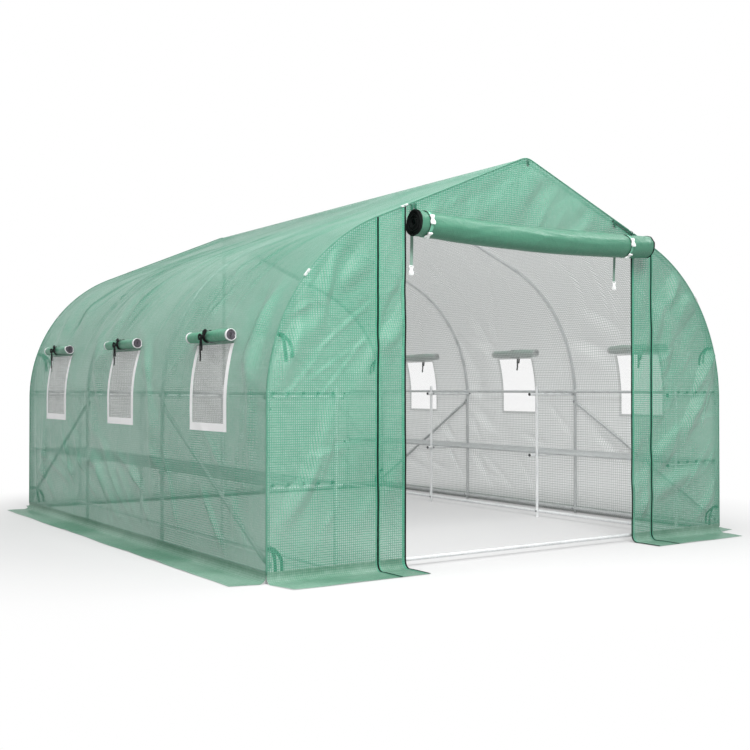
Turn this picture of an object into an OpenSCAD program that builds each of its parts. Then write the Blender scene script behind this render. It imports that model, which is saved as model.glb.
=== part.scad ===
// Polytunnel greenhouse: bent steel hoops, slatted racks along both walls and a sewn sheet cover
// with mesh windows, rolled flaps, a zipped front and a rolled-up door.
// Millimetres. X runs across the tunnel, Y along it with the door at the low end, Z up from the ground.

/* [Tunnel] */
// outside width of the cover at the ground
tunnel_width = 3000; // [2600:10:3600]
// outside length of the cover
tunnel_length = 3500; // [2800:10:5000]
// height of the ridge
ridge_height = 2020; // [1900:10:2300]
// rise of the roof from the top of the upright legs to the ridge
roof_rise = 1240; // [1100:10:1340]
// bend radius of the shoulders, measured on the outside of the cover
shoulder_radius = 930; // [820:10:1000]
// bend radius at the ridge, measured on the outside of the cover
ridge_radius = 90; // [60:5:140]
// number of hoops
hoop_count = 4; // [3:1:6]

/* [Frame] */
// outside diameter of the frame tubes
tube_d = 19; // [16:0.5:25]
// clear gap where two tubes cross or meet
tube_gap = 0.2; // [0.1:0.1:0.5]
// height of the ground rails above the ground, at their middle
rail_rise = 36; // [15:1:60]
// height of a wall brace where it meets the foot of the end leg
brace_foot = 80; // [40:5:120]
// drop of a wall brace's head below the top of its leg
brace_drop = 25; // [15:5:80]
// length of a brace's flattened end past the tube
brace_lug = 34; // [28:1:60]
// width of a brace's flattened end
lug_w = 24; // [14:1:32]
// thickness of a brace's flattened end
lug_t = 3; // [2:0.5:5]

/* [Racks] */
// distance of the rack posts from the outside of the cover
rack_depth = 360; // [280:10:480]
// height of the upper cross tubes above the top of the legs
shelf_rise = 25; // [-100:5:40]
// distance between the lower and the upper cross tubes
shelf_spacing = 400; // [250:5:500]
// how far the rack posts reach past the upper cross tubes
post_rise = 55; // [30:5:150]
// number of slats in a shelf
slat_count = 5; // [3:1:7]
// diameter of the shelf slats
slat_d = 16; // [12:0.5:20]
// clear space between the outermost slat and the hoop
slat_margin = 6; // [3:1:20]
// how far the cross tubes reach past the posts into the aisle
cross_overhang = 36; // [15:1:60]
// thickness of the tube end caps
cap_t = 5; // [3:0.5:8]

/* [Cover] */
// thickness of the cover sheet
sheet_t = 3; // [2:0.1:5]
// clear gap between the sheet and its neighbours
soft_gap = 0.3; // [0.2:0.1:0.6]
// radius where the walls turn out into the skirts
cove_radius = 35; // [20:1:60]
// width of the skirts beside the walls
side_skirt = 165; // [150:5:350]
// width of the skirts before the ends
end_skirt = 195; // [180:5:350]
// how far the free ends of a skirt are cut back at the outer edge
skirt_taper = 30; // [10:5:100]

/* [Door] */
// clear width of the doorway
door_width = 1520; // [1200:10:1700]
// height of the gable from its lower edge to the ridge
gable_height = 400; // [360:10:550]
// distance from the doorway edge to the outer zip
zip_offset = 160; // [80:5:260]
// width of a zip
zip_w = 10; // [6:0.5:16]
// thickness of a zip
zip_t = 1.5; // [1:0.1:3]
// diameter of the rolled-up door
door_roll_d = 132; // [110:2:180]
// how far the rolled-up door reaches past the doorway on each side
door_lap = 26; // [20:1:110]
// number of turns in the rolled-up door
door_turns = 4; // [2:0.5:5]
// place of the rolled-up door's middle across the front
door_roll_shift = 24; // [-40:1:40]
// distance of the left strap from its end of the rolled-up door
strap_inset_left = 62; // [60:1:400]
// distance of the right strap from its end of the rolled-up door
strap_inset_right = 172; // [60:1:400]
// width of the straps
strap_w = 20; // [12:1:32]
// thickness of the straps
strap_t = 1.5; // [1:0.1:3]
// drop of the hanging straps below the gable's lower edge
strap_drop = 200; // [150:5:350]
// length of a buckle
buckle_len = 46; // [36:1:60]
// width of a buckle
buckle_w = 26; // [22:1:40]
// thickness of a buckle
buckle_t = 7; // [4:0.5:12]
// corner radius of a buckle
buckle_corner = 6; // [2:0.5:9]
// width of the bars and rim round a buckle's slots
buckle_rim = 3; // [2:0.5:5]
// height of a buckle's slot
buckle_slot = 8; // [5:0.5:12]
// free arc of a roll strap at the back, in degrees each way
strap_open = 40; // [20:1:80]
// lift of the two roll buckles above the roll's front, in degrees
buckle_lifts = [12, -62];

/* [Windows] */
// width of a window opening
window_w = 340; // [240:5:420]
// drop of a window opening's lower edge below the top of the legs
sill_drop = 100; // [40:5:200]
// rise of a window opening's upper edge above the top of the legs
head_rise = 275; // [190:5:320]
// width of the border sewn round a window
border_w = 38; // [20:1:60]
// thickness of the border
border_t = 1.5; // [1:0.1:3]
// thickness of the mesh screen
screen_t = 1.5; // [1:0.1:3]
// how far the screen laps behind the cover
screen_lap = 18; // [8:1:40]
// diameter of a rolled window flap
flap_roll_d = 62; // [44:1:80]
// how far a rolled flap reaches past the window opening on each side
flap_over = 55; // [42:1:90]
// number of turns in a rolled window flap
flap_turns = 3; // [2:0.5:4]
// shift of a rolled flap along the wall
flap_shift = 20; // [0:1:40]

/* [Clamps] */
// angle of the shoulder clamps above the level
clamp_angle = 38.5; // [20:0.5:60]
// place of the rafter clamps as a share of the straight rafter
clamp_share = 0.18; // [0.1:0.01:0.6]
// length of a clamp round the hoop
clamp_len = 46; // [20:1:60]
// reach of a clamp along the cover
clamp_reach = 14; // [15:1:50]
// reach of a clamp down the end wall
clamp_lip = 12; // [10:1:30]
// how far a clamp stands proud of the roof edge
clamp_fin = 12; // [5:1:25]
// thickness of a clamp
clamp_t = 2.5; // [1.5:0.1:5]

/* [Hidden] */
$fn = 48;
quarter_turn = 90;
half_turn = 180;
full_turn = 360;
half_w = tunnel_width / 2;
half_l = tunnel_length / 2;
tube_r = tube_d / 2;
slat_r = slat_d / 2;
roll_r = door_roll_d / 2;
flap_r = flap_roll_d / 2;
door_half = door_width / 2;
wall_foot = sheet_t + cove_radius;

// heights that follow the ridge
leg_height = ridge_height - roof_rise;
door_height = ridge_height - gable_height;
strap_foot = door_height - strap_drop;
window_sill = leg_height - sill_drop;
window_head = leg_height + head_rise;
upper_shelf = leg_height + shelf_rise;
lower_shelf = upper_shelf - shelf_spacing;
post_height = upper_shelf + post_rise;

// lengths and places that follow the doorway and the windows
door_roll_len = door_width + 2 * door_lap;
strap_left = door_roll_shift - door_roll_len / 2 + strap_inset_left;
strap_right = door_roll_shift + door_roll_len / 2 - strap_inset_right;
flap_roll_len = window_w + 2 * flap_over;

// shoulder and ridge bend centres of the left half, and the angle of the rafter's outward face
shoulder_at = [-half_w + shoulder_radius, leg_height];
ridge_at = [0, ridge_height - ridge_radius];
bend_span = ridge_at - shoulder_at;
rafter_angle = atan2(bend_span[1], bend_span[0])
    + acos((shoulder_radius - ridge_radius) / norm(bend_span));
rafter_out = [cos(rafter_angle), sin(rafter_angle)];
rafter_run = [sin(rafter_angle), -cos(rafter_angle)];
rafter_len = sqrt(bend_span * bend_span - pow(shoulder_radius - ridge_radius, 2));

// hoop tube line inside the cover
hoop_inset = sheet_t + soft_gap + tube_r;
leg_x = half_w - hoop_inset;
hoop_end_y = half_l - hoop_inset;
bay = 2 * hoop_end_y / (hoop_count - 1);
cross_step = tube_d + tube_gap;
post_x = half_w - rack_depth;
wall_rail_x = leg_x - cross_step;
post_rail_x = post_x + cross_step;
end_rail_y = hoop_end_y - cross_step;
cross_tip = post_x - tube_r - cross_overhang;
slat_rise = tube_r + tube_gap + slat_r;
brace_head = leg_height - brace_drop;

function hoop_y(i) = -hoop_end_y + i * bay;
function bay_y(i) = hoop_y(i) + bay / 2;
function inward(i) = hoop_y(i) < 0 ? 1 : -1;
function cross_y(i) = hoop_y(i) + inward(i) * cross_step;
function hoop_x(z) = z <= leg_height ? leg_x
    : -shoulder_at[0] + sqrt(pow(shoulder_radius - hoop_inset, 2) - pow(z - leg_height, 2));
function slat_x(k, z) =
    let (outer = hoop_x(z + slat_r) - tube_r - slat_r - slat_margin)
    let (inner = post_x + tube_r + slat_r + tube_gap)
    outer + (inner - outer) * k / (slat_count - 1);
function shoulder_point(depth) = shoulder_at + (shoulder_radius - depth) * rafter_out;

// left half of the cover's section at a depth below its outside, from the foot to the ridge
shoulder_steps = 32;
ridge_steps = 8;
function arc_points(at, r, from, to, steps) =
    [for (i = [0 : steps]) let (a = from + (to - from) * i / steps) at + r * [cos(a), sin(a)]];
function half_path(depth) = concat([[-half_w + depth, wall_foot]],
    arc_points(shoulder_at, shoulder_radius - depth, half_turn, rafter_angle, shoulder_steps),
    arc_points(ridge_at, ridge_radius - depth, rafter_angle, quarter_turn, ridge_steps));
function across(path) = [for (i = [len(path) - 2 : -1 : 0]) [-path[i][0], path[i][1]]];

// spiral sheet: radius falls from r_out by one pitch each turn
spiral_steps = 24;
corner_steps = 4;
function spiral_side(r_out, turns, pitch, depth) =
    [for (i = [0 : turns * spiral_steps])
        let (r = r_out - depth - pitch * i / spiral_steps)
        let (a = -i * full_turn / spiral_steps)
        [r * cos(a), r * sin(a)]];
function rounded(w, h, r) = [for (k = [0 : 3])
    let (mid = [(k == 1 || k == 2 ? -1 : 1) * (w / 2 - r), (k < 2 ? 1 : -1) * (h / 2 - r)])
    each arc_points(mid, r, k * quarter_turn, (k + 1) * quarter_turn, corner_steps)];
function flip(list) = [for (i = [len(list) - 1 : -1 : 0]) list[i]];
roll_pitch = sheet_t + soft_gap * 3;

// rolled window flap, standing on the shoulder just above its window
flap_lift = asin((window_head + flap_r - leg_height) / shoulder_radius);
flap_stand = shoulder_radius + soft_gap + flap_r;
flap_at = [shoulder_at[0] - flap_stand * cos(flap_lift), leg_height + flap_stand * sin(flap_lift)];

// stand-off of the clamps' lips from the end walls, over the zips
clamp_stand = zip_t + 2 * soft_gap;

// middle of the rolled-up door against the gable
roll_y = -half_l - soft_gap - roll_r;

steel = [0.72, 0.74, 0.75];
green = [0.42, 0.66, 0.55];
dark = [0.08, 0.08, 0.08];
white = [0.93, 0.94, 0.94];
mesh_grey = [0.60, 0.64, 0.63];

// drawing in the X and Z plane, drawn out along Y
module along_y(length) {
    rotate([quarter_turn, 0, 0])
        linear_extrude(height = length, center = true)
            children();
}

// drawing in the Y and Z plane, drawn out along X
module along_x(length) {
    rotate([quarter_turn, 0, quarter_turn])
        linear_extrude(height = length, center = true)
            children();
}

// the same shape on the other side of the tunnel
module other_side() {
    rotate([0, 0, half_turn])
        children();
}

// drawing turned about an axis along Y that stands at a point of the section
module swept(at, start, sweep) {
    translate([at[0], 0, at[1]])
        rotate([quarter_turn, 0, 0])
            rotate([0, 0, start])
                rotate_extrude(angle = sweep)
                    children();
}

module upright(x, y, height, r) {
    translate([x, y, 0])
        cylinder(h = height, r = r);
}

module lengthwise(x, z, from, to, r) {
    translate([x, from, z])
        rotate([-quarter_turn, 0, 0])
            cylinder(h = to - from, r = r);
}

module crosswise(y, z, from, to, r) {
    translate([from, y, z])
        rotate([0, quarter_turn, 0])
            cylinder(h = to - from, r = r);
}

// left half of the cover between two depths below its outside
module half_shell(face, back, length) {
    along_y(length)
        polygon(concat(half_path(face), flip(half_path(back))));
}

// sheet that fills the section inside the cover
module end_wall(thick) {
    path = half_path(sheet_t + soft_gap);
    along_y(thick)
        polygon(concat(path, across(path)));
}

// section of a skirt: out from the wall on the first axis, up on the second
module skirt_section(reach, face, back) {
    intersection() {
        translate([cove_radius, wall_foot])
            difference() {
                circle(r = cove_radius + back);
                circle(r = cove_radius + face);
            }
        translate([-back, sheet_t - back])
            square([cove_radius + back, cove_radius + back]);
    }
    translate([cove_radius, sheet_t - back])
        square([reach - cove_radius, back - face]);
}

// skirt beyond a wall that faces the low end of Y, cut back at the ends to a line on the ground
module skirt_run(reach, from, to, cut_from, cut_to) {
    intersection() {
        translate([(from + to) / 2, 0, 0])
            along_x(to - from)
                mirror([1, 0])
                    skirt_section(reach, 0, sheet_t);
        linear_extrude(height = wall_foot)
            polygon([[from, sheet_t], [to, sheet_t], [to, -cove_radius],
                [to - cut_to, -reach], [from + cut_from, -reach], [from, -cove_radius]]);
    }
}

module spiral(r_out, turns, thick) {
    polygon(concat(spiral_side(r_out, turns, roll_pitch, 0),
        flip(spiral_side(r_out, turns, roll_pitch, thick))));
}

module side_legs() {
    for (i = [0 : hoop_count - 1])
        upright(-leg_x, hoop_y(i), leg_height, tube_r);
}

module side_shoulders() {
    for (i = [0 : hoop_count - 1])
        translate([0, hoop_y(i), 0])
            swept(shoulder_at, rafter_angle, half_turn - rafter_angle)
                translate([shoulder_radius - hoop_inset, 0])
                    circle(r = tube_r);
}

module side_rafters() {
    foot = shoulder_point(hoop_inset);
    for (i = [0 : hoop_count - 1])
        translate([foot[0], hoop_y(i), foot[1]])
            rotate([0, half_turn - rafter_angle, 0])
                cylinder(h = rafter_len, r = tube_r);
}

module legs_left() {
    color(steel) side_legs();
}

module legs_right() {
    color(steel) other_side() side_legs();
}

module shoulders_left() {
    color(steel) side_shoulders();
}

module shoulders_right() {
    color(steel) other_side() side_shoulders();
}

module rafters_left() {
    color(steel) side_rafters();
}

module rafters_right() {
    color(steel) other_side() side_rafters();
}

module ridge_elbows() {
    color(steel)
        for (i = [0 : hoop_count - 1])
            translate([0, hoop_y(i), 0])
                swept(ridge_at, half_turn - rafter_angle, 2 * rafter_angle - half_turn)
                    translate([ridge_radius - hoop_inset, 0])
                        circle(r = tube_r);
}

module ridge_rails() {
    stand = tube_r + tube_gap;
    color(steel)
        for (i = [0 : hoop_count - 2])
            lengthwise(0, ridge_height - hoop_inset, hoop_y(i) + stand, hoop_y(i + 1) - stand, tube_r);
}

module wall_rails() {
    color(steel)
        for (side = [-1, 1])
            lengthwise(side * wall_rail_x, rail_rise, -hoop_end_y, hoop_end_y, tube_r);
}

module end_rails() {
    reach = wall_rail_x - tube_r - tube_gap;
    color(steel)
        for (side = [-1, 1])
            crosswise(side * end_rail_y, rail_rise, -reach, reach, tube_r);
}

module rack_rails() {
    reach = end_rail_y - tube_r - tube_gap;
    color(steel)
        for (side = [-1, 1])
            lengthwise(side * post_rail_x, rail_rise, -reach, reach, tube_r);
}

// flattened end of a brace: leaves the tube's middle and steps over to the aisle side of the leg
module brace_end(tail) {
    step = tube_r + tube_gap;
    tip = lug_w / 2;
    linear_extrude(height = lug_w, center = true)
        polygon([[tail, -lug_t / 2], [brace_lug, -lug_t / 2], [tip, step], [-tip, step],
            [-tip, step + lug_t], [tip, step + lug_t], [brace_lug, lug_t / 2], [tail, lug_t / 2]]);
}

// one brace from the foot of the front leg to the head of the next, cut upright past both legs
module wall_brace() {
    rise = brace_head - brace_foot;
    span = norm([rise, bay]);
    lean = atan2(rise, bay);
    tail = brace_lug + tube_d;
    intersection() {
        translate([-leg_x, hoop_y(0), brace_foot])
            rotate([lean, 0, 0]) {
                translate([0, brace_lug, 0])
                    rotate([-quarter_turn, 0, 0])
                        cylinder(h = span - 2 * brace_lug, r = tube_r);
                rotate([0, 0, quarter_turn])
                    mirror([0, 1, 0])
                        brace_end(tail);
                translate([0, span, 0])
                    rotate([0, 0, -quarter_turn])
                        brace_end(tail);
            }
        translate([-half_w, hoop_y(0) - tube_r, 0])
            cube([half_w, bay + tube_d, leg_height]);
    }
}

module side_braces() {
    wall_brace();
    mirror([0, 1, 0]) wall_brace();
}

module braces() {
    color(steel) {
        side_braces();
        other_side() side_braces();
    }
}

module side_posts() {
    for (i = [0 : hoop_count - 1])
        upright(-post_x, hoop_y(i), post_height, tube_r);
}

module posts_left() {
    color(steel) side_posts();
}

module posts_right() {
    color(steel) other_side() side_posts();
}

module side_cross_tubes() {
    for (i = [0 : hoop_count - 1], z = [lower_shelf, upper_shelf])
        crosswise(cross_y(i), z, -hoop_x(z), -cross_tip, tube_r);
}

module cross_tubes_left() {
    color(steel) side_cross_tubes();
}

module cross_tubes_right() {
    color(steel) other_side() side_cross_tubes();
}

module side_shelf(shelf_z) {
    z = shelf_z + slat_rise;
    for (k = [0 : slat_count - 1])
        lengthwise(-slat_x(k, z), z, -hoop_end_y, hoop_end_y, slat_r);
}

module shelf_left_lower() {
    color(steel) side_shelf(lower_shelf);
}

module shelf_left_upper() {
    color(steel) side_shelf(upper_shelf);
}

module shelf_right_lower() {
    color(steel) other_side() side_shelf(lower_shelf);
}

module shelf_right_upper() {
    color(steel) other_side() side_shelf(upper_shelf);
}

module side_slat_caps() {
    for (shelf_z = [lower_shelf, upper_shelf], k = [0 : slat_count - 1], y = [-1, 1]) {
        z = shelf_z + slat_rise;
        tip = y * (hoop_end_y + cap_t / 2);
        lengthwise(-slat_x(k, z), z, tip - cap_t / 2, tip + cap_t / 2, slat_r);
    }
}

module slat_caps() {
    color(dark) {
        side_slat_caps();
        other_side() side_slat_caps();
    }
}

module side_cross_caps() {
    for (i = [0 : hoop_count - 1], z = [lower_shelf, upper_shelf])
        crosswise(cross_y(i), z, -cross_tip, -cross_tip + cap_t, tube_r);
}

module cross_caps() {
    color(dark) {
        side_cross_caps();
        other_side() side_cross_caps();
    }
}

// block through the wall of every bay on the left, between two heights
module bay_blocks(width, low, high) {
    for (i = [0 : hoop_count - 2])
        translate([-half_w - flap_r, bay_y(i) - width / 2, low])
            cube([half_w / 2, width, high - low]);
}

module side_cover() {
    difference() {
        half_shell(0, sheet_t, tunnel_length);
        bay_blocks(window_w, window_sill, window_head);
    }
}

module cover_left() {
    color(green) side_cover();
}

module cover_right() {
    color(green) other_side() side_cover();
}

module rear_wall() {
    color(green)
        translate([0, half_l - sheet_t / 2, 0])
            end_wall(sheet_t);
}

// part of the front wall between two places across it and above a height
module front_part(from, to, low) {
    translate([0, -half_l + sheet_t / 2, 0])
        intersection() {
            end_wall(sheet_t);
            translate([from, -sheet_t, low])
                cube([to - from, 2 * sheet_t, ridge_height]);
        }
}

module front_left() {
    color(green) front_part(-half_w, -door_half, 0);
}

module front_right() {
    color(green) front_part(door_half, half_w, 0);
}

module gable() {
    color(green) front_part(-door_half + soft_gap, door_half - soft_gap, door_height);
}

module side_skirt_sheet() {
    translate([-half_w, 0, 0])
        rotate([0, 0, -quarter_turn])
            skirt_run(side_skirt, -half_l, half_l, skirt_taper, skirt_taper);
}

module skirt_left() {
    color(green) side_skirt_sheet();
}

module skirt_right() {
    color(green) other_side() side_skirt_sheet();
}

module skirt_rear() {
    color(green)
        other_side()
            translate([0, -half_l, 0])
                skirt_run(end_skirt, -half_w, half_w, skirt_taper, skirt_taper);
}

module skirt_front_left() {
    color(green)
        translate([0, -half_l, 0])
            skirt_run(end_skirt, -half_w, -door_half, skirt_taper, 0);
}

module skirt_front_right() {
    color(green)
        translate([0, -half_l, 0])
            skirt_run(end_skirt, door_half, half_w, 0, skirt_taper);
}

module door_roll() {
    color(green)
        translate([door_roll_shift, roll_y, door_height])
            along_x(door_roll_len)
                spiral(roll_r, door_turns, sheet_t);
}

module door_straps() {
    color(white)
        for (x = [strap_left, strap_right]) {
            translate([x, roll_y, door_height])
                rotate([quarter_turn, 0, quarter_turn])
                    rotate([0, 0, strap_open])
                        rotate_extrude(angle = full_turn - 2 * strap_open)
                            translate([roll_r + soft_gap, -strap_w / 2])
                                square([strap_t, strap_w]);
            translate([x - strap_w / 2, -half_l + sheet_t + soft_gap, strap_foot])
                cube([strap_w, strap_t, door_height + strap_w - strap_foot]);
        }
}

// rounded plate with a webbing slot at each end
module buckle() {
    slot_w = buckle_w - 2 * buckle_rim;
    slot_z = buckle_len / 2 - buckle_rim - buckle_slot / 2;
    along_y(buckle_t)
        difference() {
            polygon(rounded(buckle_w, buckle_len, buckle_corner));
            for (end = [-1, 1])
                translate([0, end * slot_z])
                    square([slot_w, buckle_slot], center = true);
        }
}

module door_buckles() {
    stand = roll_r + 2 * soft_gap + strap_t + buckle_t / 2;
    hang_y = -half_l + sheet_t + soft_gap + strap_t / 2;
    color(white)
        for (x = [strap_left, strap_right]) {
            for (lift = buckle_lifts)
                translate([x, roll_y, door_height])
                    rotate([-lift, 0, 0])
                        translate([0, -stand, 0])
                            buckle();
            translate([x, hang_y, strap_foot - buckle_len / 2])
                buckle();
        }
}

module zip_places() {
    for (side = [-1, 1], x = [door_half + zip_w / 2, door_half + zip_offset])
        translate([side * x, 0, 0])
            children();
}

module front_zips() {
    color(dark)
        intersection() {
            translate([0, -half_l - soft_gap - zip_t / 2, 0])
                end_wall(zip_t);
            zip_places()
                translate([-zip_w / 2, -tunnel_length, wall_foot])
                    cube([zip_w, tunnel_length, ridge_height]);
        }
}

module skirt_zips() {
    color(dark)
        translate([0, -half_l, 0])
            zip_places()
                along_x(zip_w)
                    mirror([1, 0])
                        skirt_section(end_skirt, -soft_gap - zip_t, -soft_gap);
}

// curved strip of every window on the left between two depths, widths and heights
module window_strips(face, back, width, low, high) {
    for (i = [0 : hoop_count - 2])
        translate([0, bay_y(i), 0])
            intersection() {
                half_shell(face, back, width);
                translate([-2 * half_w, -width, low])
                    cube([2 * half_w + shoulder_at[0], 2 * width, high - low]);
            }
}

module side_screens() {
    face = sheet_t + soft_gap;
    window_strips(face, face + screen_t, window_w + 2 * screen_lap,
        window_sill - screen_lap, window_head + screen_lap);
}

module screens_left() {
    color(mesh_grey) side_screens();
}

module screens_right() {
    color(mesh_grey) other_side() side_screens();
}

module side_borders() {
    difference() {
        window_strips(-soft_gap - border_t, -soft_gap, window_w + 2 * border_w,
            window_sill - border_w, window_head);
        bay_blocks(window_w, window_sill, ridge_height);
    }
}

module borders_left() {
    color(white) side_borders();
}

module borders_right() {
    color(white) other_side() side_borders();
}

module side_flap_rolls() {
    for (i = [0 : hoop_count - 2])
        translate([flap_at[0], bay_y(i) + flap_shift, flap_at[1]])
            along_y(flap_roll_len)
                rotate([0, 0, -flap_lift])
                    spiral(flap_r, flap_turns, sheet_t);
}

module flap_rolls_left() {
    color(green) side_flap_rolls();
}

module flap_rolls_right() {
    color(green)
        mirror([1, 0, 0]) side_flap_rolls();
}

// one clamp over the left shoulder and one over the left rafter at the front end, clear of the zips
module front_clamp_pair() {
    lip_y = -half_l - clamp_stand - clamp_t / 2;
    depth = clamp_reach + clamp_stand + clamp_t;
    arc = clamp_len / shoulder_radius * half_turn / PI;
    start = half_turn - clamp_angle - arc / 2;
    translate([0, -half_l + clamp_reach - depth / 2, 0])
        swept(shoulder_at, start, arc)
            translate([shoulder_radius + soft_gap, -depth / 2])
                square([clamp_t, depth]);
    translate([0, lip_y, 0])
        swept(shoulder_at, start, arc)
            translate([shoulder_radius - clamp_lip, -clamp_t / 2])
                square([clamp_lip + clamp_fin, clamp_t]);
    base = shoulder_point(0) + rafter_len * clamp_share * rafter_run;
    translate([base[0], -half_l - clamp_stand - clamp_t, base[1]])
        rotate([0, quarter_turn - rafter_angle, 0]) {
            translate([-clamp_len / 2, 0, soft_gap])
                cube([clamp_len, depth, clamp_t]);
            translate([-clamp_len / 2, 0, -clamp_lip])
                cube([clamp_len, clamp_t, clamp_lip + clamp_fin]);
        }
}

module end_clamps() {
    front_clamp_pair();
    mirror([1, 0, 0]) front_clamp_pair();
}

module clamps() {
    color(white) {
        end_clamps();
        other_side() end_clamps();
    }
}

legs_left();
legs_right();
shoulders_left();
shoulders_right();
rafters_left();
rafters_right();
ridge_elbows();
ridge_rails();
wall_rails();
end_rails();
rack_rails();
braces();
posts_left();
posts_right();
cross_tubes_left();
cross_tubes_right();
shelf_left_lower();
shelf_left_upper();
shelf_right_lower();
shelf_right_upper();
slat_caps();
cross_caps();
cover_left();
cover_right();
rear_wall();
front_left();
front_right();
gable();
skirt_left();
skirt_right();
skirt_rear();
skirt_front_left();
skirt_front_right();
door_roll();
door_straps();
door_buckles();
front_zips();
skirt_zips();
screens_left();
screens_right();
borders_left();
borders_right();
flap_rolls_left();
flap_rolls_right();
clamps();
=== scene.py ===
"""Polytunnel greenhouse: the sewn cover, its trim and every finish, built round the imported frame."""
import logging
import math
from dataclasses import dataclass, field
from enum import Enum
from functools import cached_property
from typing import Protocol

import bpy
import numpy as np
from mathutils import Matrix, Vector


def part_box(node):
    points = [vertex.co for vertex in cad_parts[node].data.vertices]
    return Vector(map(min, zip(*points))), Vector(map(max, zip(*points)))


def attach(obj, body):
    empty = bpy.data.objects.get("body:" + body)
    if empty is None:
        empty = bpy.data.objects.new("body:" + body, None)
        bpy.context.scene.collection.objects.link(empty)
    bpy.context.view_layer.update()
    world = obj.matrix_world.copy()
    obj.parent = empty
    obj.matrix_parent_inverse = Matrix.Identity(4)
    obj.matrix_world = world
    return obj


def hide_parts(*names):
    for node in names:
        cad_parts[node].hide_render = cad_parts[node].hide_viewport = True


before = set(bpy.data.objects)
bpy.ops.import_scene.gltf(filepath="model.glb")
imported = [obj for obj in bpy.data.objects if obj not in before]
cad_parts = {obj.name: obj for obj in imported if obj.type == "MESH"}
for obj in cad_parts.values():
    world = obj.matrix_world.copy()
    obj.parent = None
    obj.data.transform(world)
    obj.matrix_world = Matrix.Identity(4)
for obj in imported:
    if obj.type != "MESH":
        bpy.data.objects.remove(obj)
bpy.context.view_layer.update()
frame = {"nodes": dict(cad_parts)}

LOG = logging.getLogger("greenhouse")
UV_NAME = "cloth"
BODY = "root"
FULL_TURN = 2 * math.pi
X_AXIS, Y_AXIS, Z_AXIS = np.eye(3)

Array = np.ndarray
Triple = tuple[float, float, float]
Colour = Triple
Faces = list[list[int]]
Solid = tuple[Array, Faces]
Patch = tuple[Array, Faces, Array]
Piece = bpy.types.Object
Material = bpy.types.Material
Node = bpy.types.Node
Tree = bpy.types.NodeTree
Socket = bpy.types.NodeSocket
Inputs = dict[str | int, object]
Profile = tuple[tuple[float, float], ...]
Span = tuple[float, float]


class Slot(Enum):
    """Material slots of the record."""

    TUBE = "galvanised_tube"
    CAP = "end_cap"
    WALL = "wall_sheet"
    FRONT = "front_sheet"
    SKIRT = "skirt_sheet"
    DOOR = "door_sheet"
    FLAP = "flap_sheet"
    SCREEN = "screen_mesh"
    BORDER = "border_tape"
    ZIP = "zip_tape"
    STRAP = "strap_webbing"
    BUCKLE = "buckle"
    CLAMP = "clamp"


class Side(Enum):
    """Side of the tunnel, as the sign of X."""

    LEFT = -1
    RIGHT = 1


class Facing(Enum):
    """Way an end wall faces, as the sign of Y."""

    FRONT = -1
    REAR = 1


class Hold(Enum):
    """Ways in which a sheet is held."""

    HUNG = "hung"
    GATHERED = "gathered"
    LAID = "laid"
    FOLDED = "folded"
    STRETCHED = "stretched"


def stations(marks: list[float], step: float) -> Array:
    """Spread places between rising marks, which are all kept, no further apart than a step."""
    runs = [np.linspace(low, high, max(1, math.ceil((high - low) / step)) + 1)[:-1]
            for low, high in zip(marks, marks[1:])]
    return np.concatenate([*runs, [marks[-1]]])


def middles(places: Array) -> Array:
    """Find the middles between neighbouring places."""
    return (places[1:] + places[:-1]) / 2


def joined(*parts: Array | float) -> Array:
    """Spread arrays to one shape and set them side by side on a new last axis."""
    return np.stack(np.broadcast_arrays(*parts), axis=-1)


def flipped(faces: Faces) -> Faces:
    """Turn faces over."""
    return [face[::-1] for face in faces]


def ramp(value: Array, low: float, high: float) -> Array:
    """Rise smoothly from 0 at the low value to 1 at the high one."""
    share = np.clip((value - low) / (high - low), 0.0, 1.0)
    return share * share * (3 - 2 * share)


def soft_floor(value: Array, floor: Array, blend: float) -> Array:
    """Keep values above a floor with a rounded turn that leaves 0 where it is."""
    kept, still = (floor + blend * np.logaddexp(0.0, (level - floor) / blend) for level in (value, 0.0))
    return kept - still


def unit(vectors: Array) -> Array:
    """Scale vectors to length 1, along the last axis."""
    return vectors / np.linalg.norm(vectors, axis=-1, keepdims=True)


def grid_faces(rows: int, columns: int, keep: Array | None = None, ring: bool = False) -> Faces:
    """Join a grid of points with four-sided faces.

    Args:
        rows: number of points along the first axis.
        columns: number of points along the second axis.
        keep: which cells get a face, all where none is given.
        ring: whether the last column joins the first.

    Returns:
        Faces as lists of point numbers.
    """
    index = np.arange(rows * columns).reshape(rows, columns)
    if ring:
        index = np.concatenate([index, index[:, :1]], axis=1)
    quads = joined(index[:-1, :-1], index[1:, :-1], index[1:, 1:], index[:-1, 1:])
    return (quads.reshape(-1, 4) if keep is None else quads[keep]).tolist()


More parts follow.
